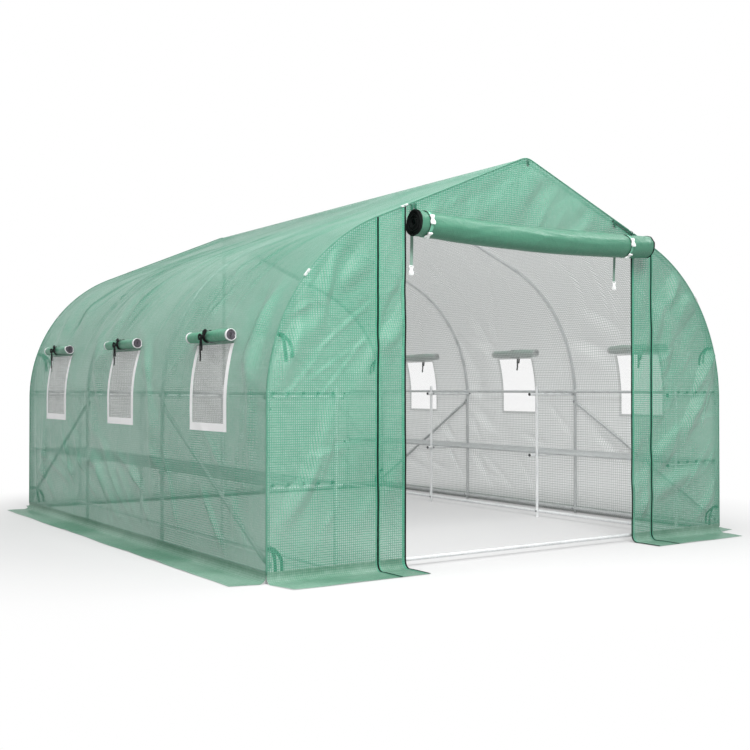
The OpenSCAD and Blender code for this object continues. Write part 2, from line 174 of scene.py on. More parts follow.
@dataclass
class MeshStack:
    """Points and faces of a piece, gathered part by part."""

    points: list[Array] = field(default_factory=list)
    faces: Faces = field(default_factory=list)
    uvs: list[Array] = field(default_factory=list)
    count: int = 0

    def add(self, points: Array, faces: Faces, uv: Array | None = None) -> "MeshStack":
        """Add one part.

        Args:
            points: the part's points, with X, Y and Z on the last axis.
            faces: the part's faces, numbered from its own first point.
            uv: cloth coordinates in metres, one pair a point.

        Returns:
            The stack itself.
        """
        flat = points.reshape(-1, 3)
        self.points.append(flat)
        self.uvs.append(flat[:, :2] if uv is None else uv.reshape(-1, 2))
        self.faces.extend([self.count + corner for corner in face] for face in faces)
        self.count += len(flat)
        return self

    def fasten(self, parts: list[Solid], middle: Array, up: Array, out: Array) -> None:
        """Add a hard part that stands on another piece.

        Args:
            parts: its shapes, with X across, Y along and Z out.
            middle: where its middle goes.
            up: unit vector along it.
            out: unit vector away from what carries it.
        """
        axes = np.stack([np.cross(up, out), up, out])
        for points, faces in parts:
            self.add(middle + points @ axes, faces)

    def piece(self, name: str, finish: "Finish", slot: Slot | None, *nodes: str, smooth: bool = True,
              depth: float = 0.0) -> Piece:
        """Make the gathered parts one piece that rides on the frame.

        Args:
            name: name of the piece.
            finish: finish of the piece.
            slot: record slot of the finish; not used.
            nodes: names of the nodes that the piece stands for.
            smooth: whether faces are shaded smoothly.
            depth: thickness that a strip gets towards its inner face.

        Returns:
            The new piece.
        """
        points, uvs = np.concatenate(self.points), np.concatenate(self.uvs)
        corners = np.array([corner for face in self.faces for corner in face])
        used, compact = np.unique(corners, return_inverse=True)
        ends = np.cumsum([len(face) for face in self.faces])
        faces = [part.tolist() for part in np.split(compact, ends[:-1])]
        mesh = bpy.data.meshes.new(name)
        mesh.from_pydata(points[used].tolist(), [], faces)
        layer = mesh.uv_layers.new(name=UV_NAME)
        layer.data.foreach_set("uv", uvs[corners].astype(np.float32).ravel())
        mesh.polygons.foreach_set("use_smooth", np.full(len(faces), smooth))
        mesh.materials.append(finish.material)
        piece = bpy.data.objects.new(name, mesh)
        bpy.context.scene.collection.objects.link(piece)
        if depth:
            solid = piece.modifiers.new("thickness", "SOLIDIFY")
            solid.thickness, solid.offset = depth, -1.0
        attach(piece, BODY)
        if nodes:
            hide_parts(*nodes)
        LOG.info("%s: %d faces", name, len(faces))
        return piece


def run_length(path: Array) -> Array:
    """Measure distances along a path from its first point."""
    return np.concatenate([[0.0], np.cumsum(np.linalg.norm(np.diff(path, axis=0), axis=1))])


def strip(path: Array, across: Array, width: float, columns: int = 3) -> Patch:
    """Lay a flat ribbon along a path.

    Args:
        path: points along the ribbon's middle.
        across: unit vectors across the ribbon, one or as many as points.
        width: width of the ribbon.
        columns: number of points across.

    Returns:
        Points, faces and cloth coordinates.
    """
    across = np.broadcast_to(across, path.shape)
    offsets = np.linspace(-width / 2, width / 2, columns)
    points = path[:, None, :] + across[:, None, :] * offsets[None, :, None]
    uv = joined(run_length(path)[:, None], offsets[None, :])
    return points, grid_faces(len(path), columns), uv


def cord(path: Array, radius: float, sides: int = 8) -> Patch:
    """Draw a round cord along a path.

    Args:
        path: points along the cord's middle.
        radius: radius of the cord.
        sides: number of points round it.

    Returns:
        Points, faces and cloth coordinates.
    """
    heading = unit(np.gradient(path, axis=0))
    first = unit(np.cross(heading, [0.31, 0.17, 0.93]))
    second = np.cross(heading, first)
    turn = np.arange(sides) * FULL_TURN / sides
    ring = first[:, None] * np.cos(turn)[:, None] + second[:, None] * np.sin(turn)[:, None]
    points = path[:, None] + radius * ring
    faces = flipped(grid_faces(len(path), sides, ring=True))
    last = (len(path) - 1) * sides
    faces += [list(range(sides))[::-1], list(range(last, last + sides))]
    uv = joined(run_length(path)[:, None], (turn * radius)[None, :])
    return points, faces, uv


def plate(outlines: list[Array], depth: float, bevel: float, lift: float = 0.0) -> Solid:
    """Cut a flat plate with rounded edges.

    Args:
        outlines: the plate's outline and then its holes, as X and Y in metres.
        depth: thickness of the plate.
        bevel: size of the rounded edge.
        lift: height of the plate's middle.

    Returns:
        Points and faces, with X and Y as given and Z across the plate.
    """
    curve = bpy.data.curves.new("plate", "CURVE")
    curve.dimensions, curve.fill_mode = "2D", "BOTH"
    curve.extrude, curve.bevel_depth, curve.offset = depth / 2 - bevel, bevel, -bevel
    curve.bevel_resolution = 2
    for outline in outlines:
        line = curve.splines.new("POLY")
        line.points.add(len(outline) - 1)
        flat = np.column_stack([outline, np.zeros(len(outline)), np.ones(len(outline))])
        line.points.foreach_set("co", flat.astype(np.float32).ravel())
        line.use_cyclic_u = True
    holder = bpy.data.objects.new("plate", curve)
    bpy.context.scene.collection.objects.link(holder)
    mesh = bpy.data.meshes.new_from_object(holder.evaluated_get(bpy.context.evaluated_depsgraph_get()))
    points = np.array([point.co[:] for point in mesh.vertices]) + lift * Z_AXIS
    faces = [list(face.vertices) for face in mesh.polygons]
    bpy.data.objects.remove(holder)
    bpy.data.curves.remove(curve)
    bpy.data.meshes.remove(mesh)
    return points, faces


def block_outline(x: float, y: float, half_x: float, half_y: float) -> Array:
    """List the corners of an upright rectangle."""
    return np.array([(x + u * half_x, y + v * half_y) for u, v in ((-1, -1), (1, -1), (1, 1), (-1, 1))])


def turned_part(profile: Profile, sides: int) -> Solid:
    """Turn a profile round the Z axis.

    Args:
        profile: radii and heights from the foot to the top.
        sides: number of flats round the axis.

    Returns:
        Points and faces.
    """
    turn = np.arange(sides) * FULL_TURN / sides
    radius, height = np.array(profile).T
    flat = radius[:, None, None] * joined(np.cos(turn), np.sin(turn))
    points = np.concatenate([flat, np.broadcast_to(height[:, None, None], (*flat.shape[:2], 1))], axis=-1)
    faces = flipped(grid_faces(len(profile), sides, ring=True))
    last = (len(profile) - 1) * sides
    return points, [*faces, list(range(last, last + sides))]


def smooth_path(knots: Array, count: int) -> Array:
    """Draw a rounded line through knots.

    Args:
        knots: points that the line passes through.
        count: number of points on the line.

    Returns:
        The line's points.
    """
    padded = np.concatenate([2 * knots[:1] - knots[1:2], knots, 2 * knots[-1:] - knots[-2:-1]])
    place = np.linspace(0, len(knots) - 1, count)
    first = np.minimum(place.astype(int), len(knots) - 2)
    t = (place - first)[:, None]
    a, b, c, d = (padded[first + k] for k in range(4))
    square, cube = 2 * a - 5 * b + 4 * c - d, 3 * b - a - 3 * c + d
    return 0.5 * (2 * b + (c - a) * t + square * t ** 2 + cube * t ** 3)


@dataclass(frozen=True)
class TunnelForm:
    """Sizes of the tunnel in metres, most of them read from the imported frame."""

    half_width: float
    half_length: float
    ridge: float
    wall_foot: float
    leg_top: float
    tube_radius: float
    first_hoop: float
    shoulder_radius: float = 0.930
    ridge_radius: float = 0.090
    hoop_count: int = 4

    @classmethod
    def from_frame(cls) -> "TunnelForm":
        """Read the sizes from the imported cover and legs."""
        low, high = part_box("cover_left")
        leg_low, leg_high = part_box("legs_left")
        radius = (leg_high.x - leg_low.x) / 2
        return cls(half_width=-low.x, half_length=-low.y, ridge=high.z, wall_foot=low.z,
                   leg_top=leg_high.z, tube_radius=radius, first_hoop=leg_low.y + radius)

    @cached_property
    def hoop_ys(self) -> Array:
        """Places of the hoops along the tunnel."""
        return np.linspace(self.first_hoop, -self.first_hoop, self.hoop_count)

    @cached_property
    def bay_ys(self) -> Array:
        """Middles of the bays between the hoops."""
        return middles(self.hoop_ys)

    @property
    def leg_x(self) -> float:
        """Distance of the legs' middle line from the middle of the tunnel."""
        return -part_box("legs_left")[0].x - self.tube_radius

    def hoop_x(self, z: float) -> float:
        """Distance of the hoop's middle line from the middle of the tunnel at a height."""
        radius = self.shoulder_radius - (self.half_width - self.leg_x)
        above = max(0.0, z - self.leg_top)
        return self.leg_x - radius + math.sqrt(radius ** 2 - above ** 2)


class Section:
    """Outside line of the cover across the tunnel, measured along the sheet from the left foot."""

    def __init__(self, form: TunnelForm) -> None:
        """Work out the bends.

        Args:
            form: sizes of the tunnel.
        """
        self.form = form
        self.shoulder = np.array([form.shoulder_radius - form.half_width, form.leg_top])
        self.crown = np.array([0.0, form.ridge - form.ridge_radius])
        span = self.crown - self.shoulder
        shrink = form.shoulder_radius - form.ridge_radius
        self.angle = math.atan2(span[1], span[0]) + math.acos(shrink / np.linalg.norm(span))
        self.out = np.array([math.cos(self.angle), math.sin(self.angle)])
        self.run = np.array([self.out[1], -self.out[0]])
        lengths = [form.leg_top - form.wall_foot, form.shoulder_radius * (math.pi - self.angle),
                   math.sqrt(span @ span - shrink ** 2), form.ridge_radius * (self.angle - math.pi / 2)]
        self.marks = np.concatenate([[0.0], np.cumsum(lengths)])
        self.half = float(self.marks[-1])
        self.total = 2 * self.half

    def place(self, s: Array) -> tuple[Array, Array]:
        """Find points of the line.

        Args:
            s: distances along the sheet from the left foot.

        Returns:
            Points and outward directions, with X and Z on the last axis.
        """
        form, marks = self.form, self.marks
        right = s > self.half
        t = np.where(right, self.total - s, s)
        turn = math.pi - np.clip(t - marks[1], 0, marks[2] - marks[1]) / form.shoulder_radius
        crest = self.angle - np.clip(t - marks[3], 0, None) / form.ridge_radius
        angle = np.where(t > marks[3], crest, turn)
        normal = joined(np.cos(angle), np.sin(angle))
        base = self.shoulder + form.shoulder_radius * normal
        base[..., 1] += np.minimum(t - marks[1], 0)
        slope = np.clip(t - marks[2], 0, marks[3] - marks[2])[..., None] * self.run
        point = np.where((t > marks[3])[..., None], self.crown + form.ridge_radius * normal, base + slope)
        flip = np.where(right, -1.0, 1.0)
        mirror = joined(flip, np.ones_like(flip))
        return point * mirror, normal * mirror

    def at_height(self, z: float) -> float:
        """Distance along the left half to a height on the wall or the shoulder."""
        above = z - self.form.leg_top
        if above <= 0:
            return z - self.form.wall_foot
        return float(self.marks[1]) + self.form.shoulder_radius * math.asin(above / self.form.shoulder_radius)

    def spread(self, marks: list[float], step: float) -> Array:
        """Spread places over the whole line from marks on its left half, with the ridge as the last one."""
        return stations([*marks, *[self.total - mark for mark in reversed(marks[:-1])]], step)

    def top(self, x: Array) -> Array:
        """Find the height of the line over places across the tunnel.

        Args:
            x: places across the tunnel.

        Returns:
            Heights of the outside line there.
        """
        form = self.form
        reach = np.abs(x)
        bend = np.clip(reach + self.shoulder[0], -form.shoulder_radius, form.shoulder_radius)
        shoulder = form.leg_top + np.sqrt(form.shoulder_radius ** 2 - bend ** 2)
        foot = self.shoulder + form.shoulder_radius * self.out
        rafter = foot[1] + (-reach - foot[0]) * self.run[1] / self.run[0]
        crest = self.crown[1] + np.sqrt(np.clip(form.ridge_radius ** 2 - reach ** 2, 0, None))
        edge = -form.ridge_radius * self.out[0]
        return np.where(reach > -foot[0], shoulder, np.where(reach > edge, rafter, crest))

    def column_places(self, low: float, high: float, step: float) -> Array:
        """Spread places across an end wall, close together where the outline is steep.

        Args:
            low: first place.
            high: last place.
            step: widest distance between two places, measured along the outline.

        Returns:
            The places in rising order.
        """
        points, _ = self.place(stations([0.0, *self.marks[1:], self.total - self.marks[1]], step))
        inner = points[(points[:, 0] > low + step / 4) & (points[:, 0] < high - step / 4), 0]
        return np.concatenate([[low], np.unique(np.round(inner, 6)), [high]])


@dataclass
class FoldField:
    """Soft folds on a sheet, each a bent ridge with a shallow valley beside it and fading ends."""

    places: list[Span] = field(default_factory=list)
    shapes: list[tuple[float, float, float, float, float]] = field(default_factory=list)
    valley: float = 0.55
    valley_shift: float = 1.9
    valley_width: float = 1.4
    size_range: Span = (0.6, 1.4)
    raised_share: float = 0.75
    sunk_depth: float = 0.6
    bend_spread: float = 0.35

    def add(self, u: float, v: float, lean: float, reach: float, width: float, height: float,
            bend: float = 0.0) -> None:
        """Lay one fold by its middle, lean in radians, half its length and width, height and curve."""
        self.places.append((u, v))
        self.shapes.append((lean, reach, width, height, bend))

    def scatter(self, rng: np.random.Generator, count: int, box: tuple[float, float, float, float],
                lean: Span, reach: float, width: float, height: float) -> None:
        """Lay folds at drawn places.

        Args:
            rng: source of the draws.
            count: number of folds.
            box: lowest and highest place along the sheet, then across it.
            lean: middle and spread of the angle.
            reach: middle of half the length.
            width: middle of half the width.
            height: middle of the height.
        """
        for _ in range(count):
            u, v = rng.uniform(box[0], box[1]), rng.uniform(box[2], box[3])
            size = rng.uniform(*self.size_range, 3)
            sign = 1.0 if rng.random() < self.raised_share else -self.sunk_depth
            self.add(u, v, rng.normal(*lean), reach * size[0], width * size[1], sign * height * size[2],
                     rng.normal(0.0, self.bend_spread))

    def lift(self, u: Array, v: Array) -> Array:
        """Measure the folds.

        Args:
            u: places along the sheet.
            v: places across the sheet.

        Returns:
            Heights above the plain sheet.
        """
        total = np.zeros(np.broadcast(u, v).shape)
        for (at_u, at_v), (lean, reach, width, height, bend) in zip(self.places, self.shapes):
            along = (u - at_u) * math.cos(lean) + (v - at_v) * math.sin(lean)
            aside = (v - at_v) * math.cos(lean) - (u - at_u) * math.sin(lean) - bend * along ** 2
            ridge = np.exp(-(aside / width) ** 2)
            valley = np.exp(-((aside - self.valley_shift * width) / (self.valley_width * width)) ** 2)
            total = total + height * (ridge - self.valley * valley) * np.exp(-(along / reach) ** 4)
        return total


@dataclass(frozen=True)
class Ripple:
    """Gentle waves made of a few drawn sine waves."""

    seed: int
    length: float
    count: int = 7

    def lift(self, u: Array, v: Array) -> Array:
        """Measure the waves.

        Args:
            u: places along the sheet.
            v: places across the sheet.

        Returns:
            Heights, mostly between -1 and 1.
        """
        rng = np.random.default_rng(self.seed)
        total = np.zeros(np.broadcast(u, v).shape)
        for _ in range(self.count):
            heading, start = rng.uniform(0, FULL_TURN, 2)
            wave = FULL_TURN / (self.length * rng.uniform(0.6, 1.7))
            total = total + np.sin(wave * (u * math.cos(heading) + v * math.sin(heading)) + start)
        return total / math.sqrt(self.count)


class Graph:
    """Short way to add and join nodes in one node tree."""

    def __init__(self, tree: Tree) -> None:
        """Take the node tree that is built."""
        self.tree = tree

    @cached_property
    def cloth(self) -> Socket:
        """Cloth coordinates in metres."""
        return self.node("ShaderNodeUVMap", uv_map=UV_NAME).outputs[0]

    @cached_property
    def place(self) -> Socket:
        """Place on the piece in metres."""
        return self.node("ShaderNodeTexCoord").outputs["Object"]

    @cached_property
    def behind(self) -> Socket:
        """1 on the back of a face, 0 on its front."""
        return self.node("ShaderNodeNewGeometry").outputs["Backfacing"]

    def fill(self, node: Node, inputs: Inputs) -> None:
        """Link inputs of a node, or set those that aren't linked.

        Args:
            node: the node.
            inputs: numbers, colours or sockets, by the input's name or number.
        """
        for key, value in inputs.items():
            socket = node.inputs[key]
            if isinstance(value, Socket):
                self.tree.links.new(value, socket)
            else:
                socket.default_value = (*value, 1.0) if socket.type == "RGBA" else value

    def node(self, kind: str, inputs: Inputs | None = None, **settings: object) -> Node:
        """Add a node.

        Args:
            kind: Blender's name of the node.
            inputs: what goes into it, by name or number.
            settings: properties of the node.

        Returns:
            The node.
        """
        made = self.tree.nodes.new(kind)
        for key, value in settings.items():
            setattr(made, key, value)
        self.fill(made, inputs or {})
        return made

    def math(self, operation: str, *values: object, clamp: bool = False) -> Socket:
        """Work out numbers or sockets by one of Blender's operations."""
        made = self.node("ShaderNodeMath", dict(enumerate(values)), operation=operation, use_clamp=clamp)
        return made.outputs[0]

    def blend(self, share: object, first: object, second: object) -> Socket:
        """Mix a share of the second colour into the first one."""
        return self.node("ShaderNodeMix", {0: share, 6: first, 7: second}, data_type="RGBA").outputs[2]

    def grade(self, value: object, low: object, high: object, to: Span = (0.0, 1.0)) -> Socket:
        """Map a value smoothly, from the span between low and high to the span between two results."""
        inputs = dict(enumerate((value, low, high, *to)))
        return self.node("ShaderNodeMapRange", inputs, interpolation_type="SMOOTHSTEP").outputs[0]

    def noise(self, vector: Socket, scale: float, detail: float) -> Socket:
        """Add smooth noise over a vector."""
        inputs = {"Vector": vector, "Scale": scale, "Detail": detail}
        return self.node("ShaderNodeTexNoise", inputs).outputs[0]

    def scaled(self, vector: object, factor: Socket) -> Socket:
        """Scale a vector."""
        return self.node("ShaderNodeVectorMath", {0: vector, 3: factor}, operation="SCALE").outputs[0]

    def axes(self, vector: Socket) -> list[Socket]:
        """Part a vector into X, Y and Z."""
        return list(self.node("ShaderNodeSeparateXYZ", {0: vector}).outputs)

    def group(self, tree: Tree, **inputs: object) -> Node:
        """Place a node group with what goes into it."""
        return self.node("ShaderNodeGroup", inputs, node_tree=tree)


class Effects:
    """Shader node groups that several finishes share."""

    @staticmethod
    def start(name: str, inputs: dict[str, float], outputs: list[str]
              ) -> tuple[Graph, dict[str, Socket], Node]:
        """Begin a group with a Vector input.

        Args:
            name: name of the group.
            inputs: its number inputs and their usual values.
            outputs: its number outputs.

        Returns:
            The group's graph, its inputs and the node that takes its outputs.
        """
        tree = bpy.data.node_groups.new(name, "ShaderNodeTree")
        tree.interface.new_socket(name="Vector", in_out="INPUT", socket_type="NodeSocketVector")
        for key, usual in inputs.items():
            socket = tree.interface.new_socket(name=key, in_out="INPUT", socket_type="NodeSocketFloat")
            socket.default_value = usual
        for key in outputs:
            tree.interface.new_socket(name=key, in_out="OUTPUT", socket_type="NodeSocketFloat")
        graph = Graph(tree)
        return graph, graph.node("NodeGroupInput").outputs, graph.node("NodeGroupOutput")

    @cached_property
    def woven_grid(self) -> Tree:
        """Grid of reinforcing threads over a fine weave."""
        graph, given, out = self.start("woven_grid", {"Pitch": 0.015, "Width": 0.11, "Fine": 0.0024},
                                       ["Thread", "Height"])
        lines, waves = [], []
        for axis in graph.axes(given["Vector"])[:2]:
            cell = graph.math("FRACT", graph.math("DIVIDE", axis, given["Pitch"]))
            aside = graph.math("ABSOLUTE", graph.math("SUBTRACT", cell, 0.5))
            lines.append(graph.grade(aside, 0.0, given["Width"], (1.0, 0.0)))
            turn = graph.math("MULTIPLY", graph.math("DIVIDE", axis, given["Fine"]), FULL_TURN)
            waves.append(graph.math("SINE", turn))
        thread = graph.math("MAXIMUM", *lines)
        height = graph.math("MULTIPLY_ADD", graph.math("MULTIPLY", *waves), 0.22, thread)
        graph.fill(out, {"Thread": thread, "Height": height})
        return graph.tree

    @cached_property
    def dust_film(self) -> Tree:
        """Patchy pale dust, and a slow drift of tone."""
        graph, given, out = self.start("dust_film", {"Amount": 0.3, "Scale": 1.6}, ["Mask", "Drift"])
        spread = graph.scaled(given["Vector"], given["Scale"])
        cloud = graph.grade(graph.noise(spread, 1.0, 6.0), 0.40, 0.68)
        speck = graph.grade(graph.noise(spread, 38.0, 2.0), 0.46, 0.74)
        both = graph.math("MULTIPLY_ADD", speck, 0.35, graph.math("MULTIPLY", cloud, 0.65))
        graph.fill(out, {"Mask": graph.math("MULTIPLY", both, given["Amount"], clamp=True),
                         "Drift": graph.noise(spread, 0.55, 3.0)})
        return graph.tree

    @cached_property
    def fine_crease(self) -> Tree:
        """Thin creases of a sheet that was folded in its box."""
        graph, given, out = self.start("fine_crease", {"Scale": 3.2, "Sharp": 5.0}, ["Height"])
        spread = graph.scaled(given["Vector"], given["Scale"])
        heights = []
        for scale, detail in ((1.0, 1.5), (2.7, 2.0)):
            value = graph.noise(spread, scale, detail)
            fold = graph.math("ABSOLUTE", graph.math("MULTIPLY_ADD", value, 2.0, -1.0))
            heights.append(graph.math("POWER", graph.math("SUBTRACT", 1.0, fold), given["Sharp"]))
        graph.fill(out, {"Height": graph.math("MULTIPLY_ADD", heights[1], 0.4, heights[0])})
        return graph.tree

    @cached_property
    def stitch_row(self) -> Tree:
        """Row of stitches along the first axis at a place on the second."""
        usual = {"Place": 0.0, "Pitch": 0.006, "Width": 0.0011}
        graph, given, out = self.start("stitch_row", usual, ["Mask"])
        along, across, _ = graph.axes(given["Vector"])
        aside = graph.math("ABSOLUTE", graph.math("SUBTRACT", across, given["Place"]))
        near = graph.math("SUBTRACT", 1.0, graph.math("DIVIDE", aside, given["Width"]), clamp=True)
        beat = graph.math("FRACT", graph.math("DIVIDE", along, given["Pitch"]))
        dash = graph.math("MULTIPLY", graph.grade(beat, 0.05, 0.2), graph.grade(beat, 0.8, 0.65))
        graph.fill(out, {"Mask": graph.math("MULTIPLY", near, dash)})
        return graph.tree

    @cached_property
    def surface_wear(self) -> Tree:
        """Scuffs and handling marks on hard pieces."""
        graph, given, out = self.start("surface_wear", {"Amount": 0.4, "Scale": 24.0}, ["Mask", "Height"])
        spread = graph.scaled(given["Vector"], given["Scale"])
        mark = graph.grade(graph.noise(spread, 1.0, 5.0), 0.45, 0.7)
        graph.fill(out, {"Mask": graph.math("MULTIPLY", mark, given["Amount"], clamp=True),
                         "Height": graph.noise(spread, 9.0, 3.0)})
        return graph.tree


EFFECTS = Effects()


def new_material(name: str) -> tuple[Material, Graph, Node]:
    """Begin a material.

    Args:
        name: name of the finish.

    Returns:
        The material, its graph and its main shader.
    """
    made = bpy.data.materials.new(name)
    made.use_nodes = True
    made.node_tree.nodes.clear()
    graph = Graph(made.node_tree)
    shader = graph.node("ShaderNodeBsdfPrincipled")
    graph.node("ShaderNodeOutputMaterial", {"Surface": shader.outputs[0]})
    return made, graph, shader


def add_bump(graph: Graph, shader: Node, height: Socket) -> None:
    """Feed a height in metres to a shader's normal."""
    bump = graph.node("ShaderNodeBump", {"Strength": 1.0, "Distance": 1.0, "Height": height})
    graph.fill(shader, {"Normal": bump.outputs[0]})


def toned(colour: Colour, gain: float, lift: float = 0.0) -> Colour:
    """Make a colour lighter or darker."""
    return tuple(min(1.0, value * gain + lift) for value in colour)


class Finish(Protocol):
    """What every finish has."""

    name: str
    material: Material


@dataclass(frozen=True)
class SheetFinish:
    """Woven sheet with a film on both faces, green outside and pale inside."""

    name: str
    outside: Colour = (0.062, 0.330, 0.206)
    thread: Colour = (0.020, 0.150, 0.090)
    inside: Colour = (0.900, 0.920, 0.910)
    inside_thread: Colour = (0.430, 0.480, 0.455)
    dust: Colour = (0.480, 0.600, 0.540)
    dust_amount: float = 0.20
    dust_roughness: float = 0.45
    drift: Span = (0.88, 1.12)
    opacity: float = 0.57
    thread_opacity: float = 0.95
    shade: float = 0.57
    roughness: float = 0.40
    specular: float = 0.25
    pitch: float = 0.0108
    thread_width: float = 0.23
    thread_share: float = 0.9
    thread_height: float = 0.00035
    inside_pitch: float = 0.0168
    inside_thread_width: float = 0.20
    crease_height: float = 0.0026
    hem: float = 0.0
    stitch_width: float = 0.0018
    stitch_height: float = 0.0008

    @cached_property
    def material(self) -> Material:
        """Blender material of the sheet."""
        made, graph, shader = new_material(self.name)
        cloth, place = graph.cloth, graph.place
        weave = graph.group(EFFECTS.woven_grid, Vector=cloth, Pitch=self.pitch, Width=self.thread_width)
        film = graph.group(EFFECTS.dust_film, Vector=place, Amount=self.dust_amount)
        crease = graph.group(EFFECTS.fine_crease, Vector=place)
        thread, dusty = weave.outputs["Thread"], film.outputs["Mask"]
        tinted = graph.scaled(self.outside, graph.grade(film.outputs["Drift"], 0.3, 0.7, self.drift))
        outside = graph.blend(graph.math("MULTIPLY", thread, self.thread_share), tinted, self.thread)
        outside = graph.blend(dusty, outside, self.dust)
        backing = graph.group(EFFECTS.woven_grid, Vector=cloth, Pitch=self.inside_pitch,
                              Width=self.inside_thread_width)
        inside = graph.blend(backing.outputs["Thread"], self.inside, self.inside_thread)
        colour = graph.blend(graph.behind, outside, inside)
        height = graph.math("MULTIPLY", weave.outputs["Height"], self.thread_height)
        height = graph.math("MULTIPLY_ADD", crease.outputs[0], self.crease_height, height)
        if self.hem:
            row = graph.group(EFFECTS.stitch_row, Vector=cloth, Place=self.hem, Width=self.stitch_width)
            colour = graph.blend(row.outputs[0], colour, self.dust)
            height = graph.math("MULTIPLY_ADD", row.outputs[0], self.stitch_height, height)
        rough = graph.math("MULTIPLY_ADD", dusty, self.dust_roughness, self.roughness)
        graph.fill(shader, {"Base Color": colour, "Roughness": rough, "Specular IOR Level": self.specular})
        if self.opacity < 1:
            seen = graph.math("MULTIPLY_ADD", thread, self.thread_opacity - self.opacity, self.opacity)
            shadow = graph.node("ShaderNodeLightPath").outputs["Is Shadow Ray"]
            lit = graph.math("SUBTRACT", 1.0, shadow)
            passed = graph.math("MULTIPLY", shadow, self.shade)
            graph.fill(shader, {"Alpha": graph.math("MULTIPLY_ADD", seen, lit, passed)})
        add_bump(graph, shader, height)
        return made


@dataclass(frozen=True)
class RollFinish:
    """The same sheet in many layers: no light comes through, and the inner face is painted near black as
    painted shade for the hollow inside the roll.
    """

    name: str
    outside: Colour = (0.050, 0.168, 0.108)
    # painted shade: a near-black inner face that stands for the shade inside the roll; the sheet's own inner
    # face is pale
    inside: Colour = (0.012, 0.030, 0.024)
    roughness: float = 0.32
    specular: float = 0.25
    pitch: float = 0.0108
    thread_share: float = 0.22
    thread_height: float = 0.0003
    crease_height: float = 0.0026

    @cached_property
    def material(self) -> Material:
        """Blender material of the rolled sheet."""
        made, graph, shader = new_material(self.name)
        weave = graph.group(EFFECTS.woven_grid, Vector=graph.cloth, Pitch=self.pitch)
        film = graph.group(EFFECTS.dust_film, Vector=graph.place, Amount=0.30, Scale=4.0).outputs["Mask"]
        crease = graph.group(EFFECTS.fine_crease, Vector=graph.place, Scale=6.0)
        lifted = toned(self.outside, 1.3, 0.03)
        thread = graph.math("MULTIPLY", weave.outputs["Thread"], self.thread_share)
        outside = graph.blend(film, graph.blend(thread, self.outside, lifted), lifted)
        # back faces show the painted shade of the inner face
        graph.fill(shader, {"Base Color": graph.blend(graph.behind, outside, self.inside),
                            "Roughness": graph.math("MULTIPLY_ADD", film, 0.35, self.roughness),
                            "Specular IOR Level": self.specular})
        height = graph.math("MULTIPLY", weave.outputs["Height"], self.thread_height)
        add_bump(graph, shader, graph.math("MULTIPLY_ADD", crease.outputs[0], self.crease_height, height))
        return made


@dataclass(frozen=True)
class ScreenFinish:
    """Fine mesh: mostly holes, grey from outside and white from inside."""

    name: str = "screen_mesh"
    outside: Colour = (0.215, 0.245, 0.230)
    inside: Colour = (0.900, 0.910, 0.905)
    pitch: float = 0.0090
    opacity: float = 0.48
    thread_opacity: float = 0.66
    back_share: float = 0.32
    thread_height: float = 0.0004

    @cached_property
    def material(self) -> Material:
        """Blender material of the mesh."""
        made, graph, shader = new_material(self.name)
        weave = graph.group(EFFECTS.woven_grid, Vector=graph.cloth, Pitch=self.pitch, Width=0.2, Fine=0.0018)
        film = graph.group(EFFECTS.dust_film, Vector=graph.place, Amount=0.15, Scale=3.0).outputs["Mask"]
        outside = graph.blend(film, self.outside, self.inside)
        gain = self.thread_opacity - self.opacity
        seen = graph.math("MULTIPLY_ADD", weave.outputs["Thread"], gain, self.opacity)
        front = graph.math("MULTIPLY_ADD", graph.behind, self.back_share - 1.0, 1.0)
        graph.fill(shader, {"Base Color": graph.blend(graph.behind, outside, self.inside),
                            "Alpha": graph.math("MULTIPLY", seen, front),
                            "Roughness": graph.math("MULTIPLY_ADD", film, 0.3, 0.6)})
        add_bump(graph, shader, graph.math("MULTIPLY", weave.outputs["Height"], self.thread_height))
        return made


@dataclass(frozen=True)
class TapeFinish:
    """Woven tape or webbing with two rows of stitches."""

    name: str
    colour: Colour
    stitch: Colour
    row: float
    back_opacity: float = 1.0
    ribs: float = 0.0016
    roughness: float = 0.62
    specular: float = 0.12
    rib_height: float = 0.0002
    stitch_height: float = 0.0005

    @cached_property
    def material(self) -> Material:
        """Blender material of the tape."""
        made, graph, shader = new_material(self.name)
        cloth, ribs = graph.cloth, self.ribs
        weave = graph.group(EFFECTS.woven_grid, Vector=cloth, Pitch=ribs * 2, Width=0.3, Fine=ribs)
        film = graph.group(EFFECTS.dust_film, Vector=graph.place, Amount=0.35, Scale=9.0).outputs["Mask"]
        sewn = graph.math("MAXIMUM", *[graph.group(EFFECTS.stitch_row, Vector=cloth, Place=place).outputs[0]
                                       for place in (-self.row, self.row)])
        thread = graph.math("MULTIPLY", weave.outputs["Thread"], 0.3)
        colour = graph.blend(thread, self.colour, toned(self.colour, 0.72))
        colour = graph.blend(film, colour, toned(self.colour, 0.86, 0.03))
        graph.fill(shader, {"Base Color": graph.blend(sewn, colour, self.stitch),
                            "Roughness": graph.math("MULTIPLY_ADD", film, 0.3, self.roughness),
                            "Specular IOR Level": self.specular})
        if self.back_opacity < 1:
            gain = self.back_opacity - 1.0
            graph.fill(shader, {"Alpha": graph.math("MULTIPLY_ADD", graph.behind, gain, 1.0)})
        height = graph.math("MULTIPLY", weave.outputs["Height"], self.rib_height)
        add_bump(graph, shader, graph.math("MULTIPLY_ADD", sewn, self.stitch_height, height))
        return made


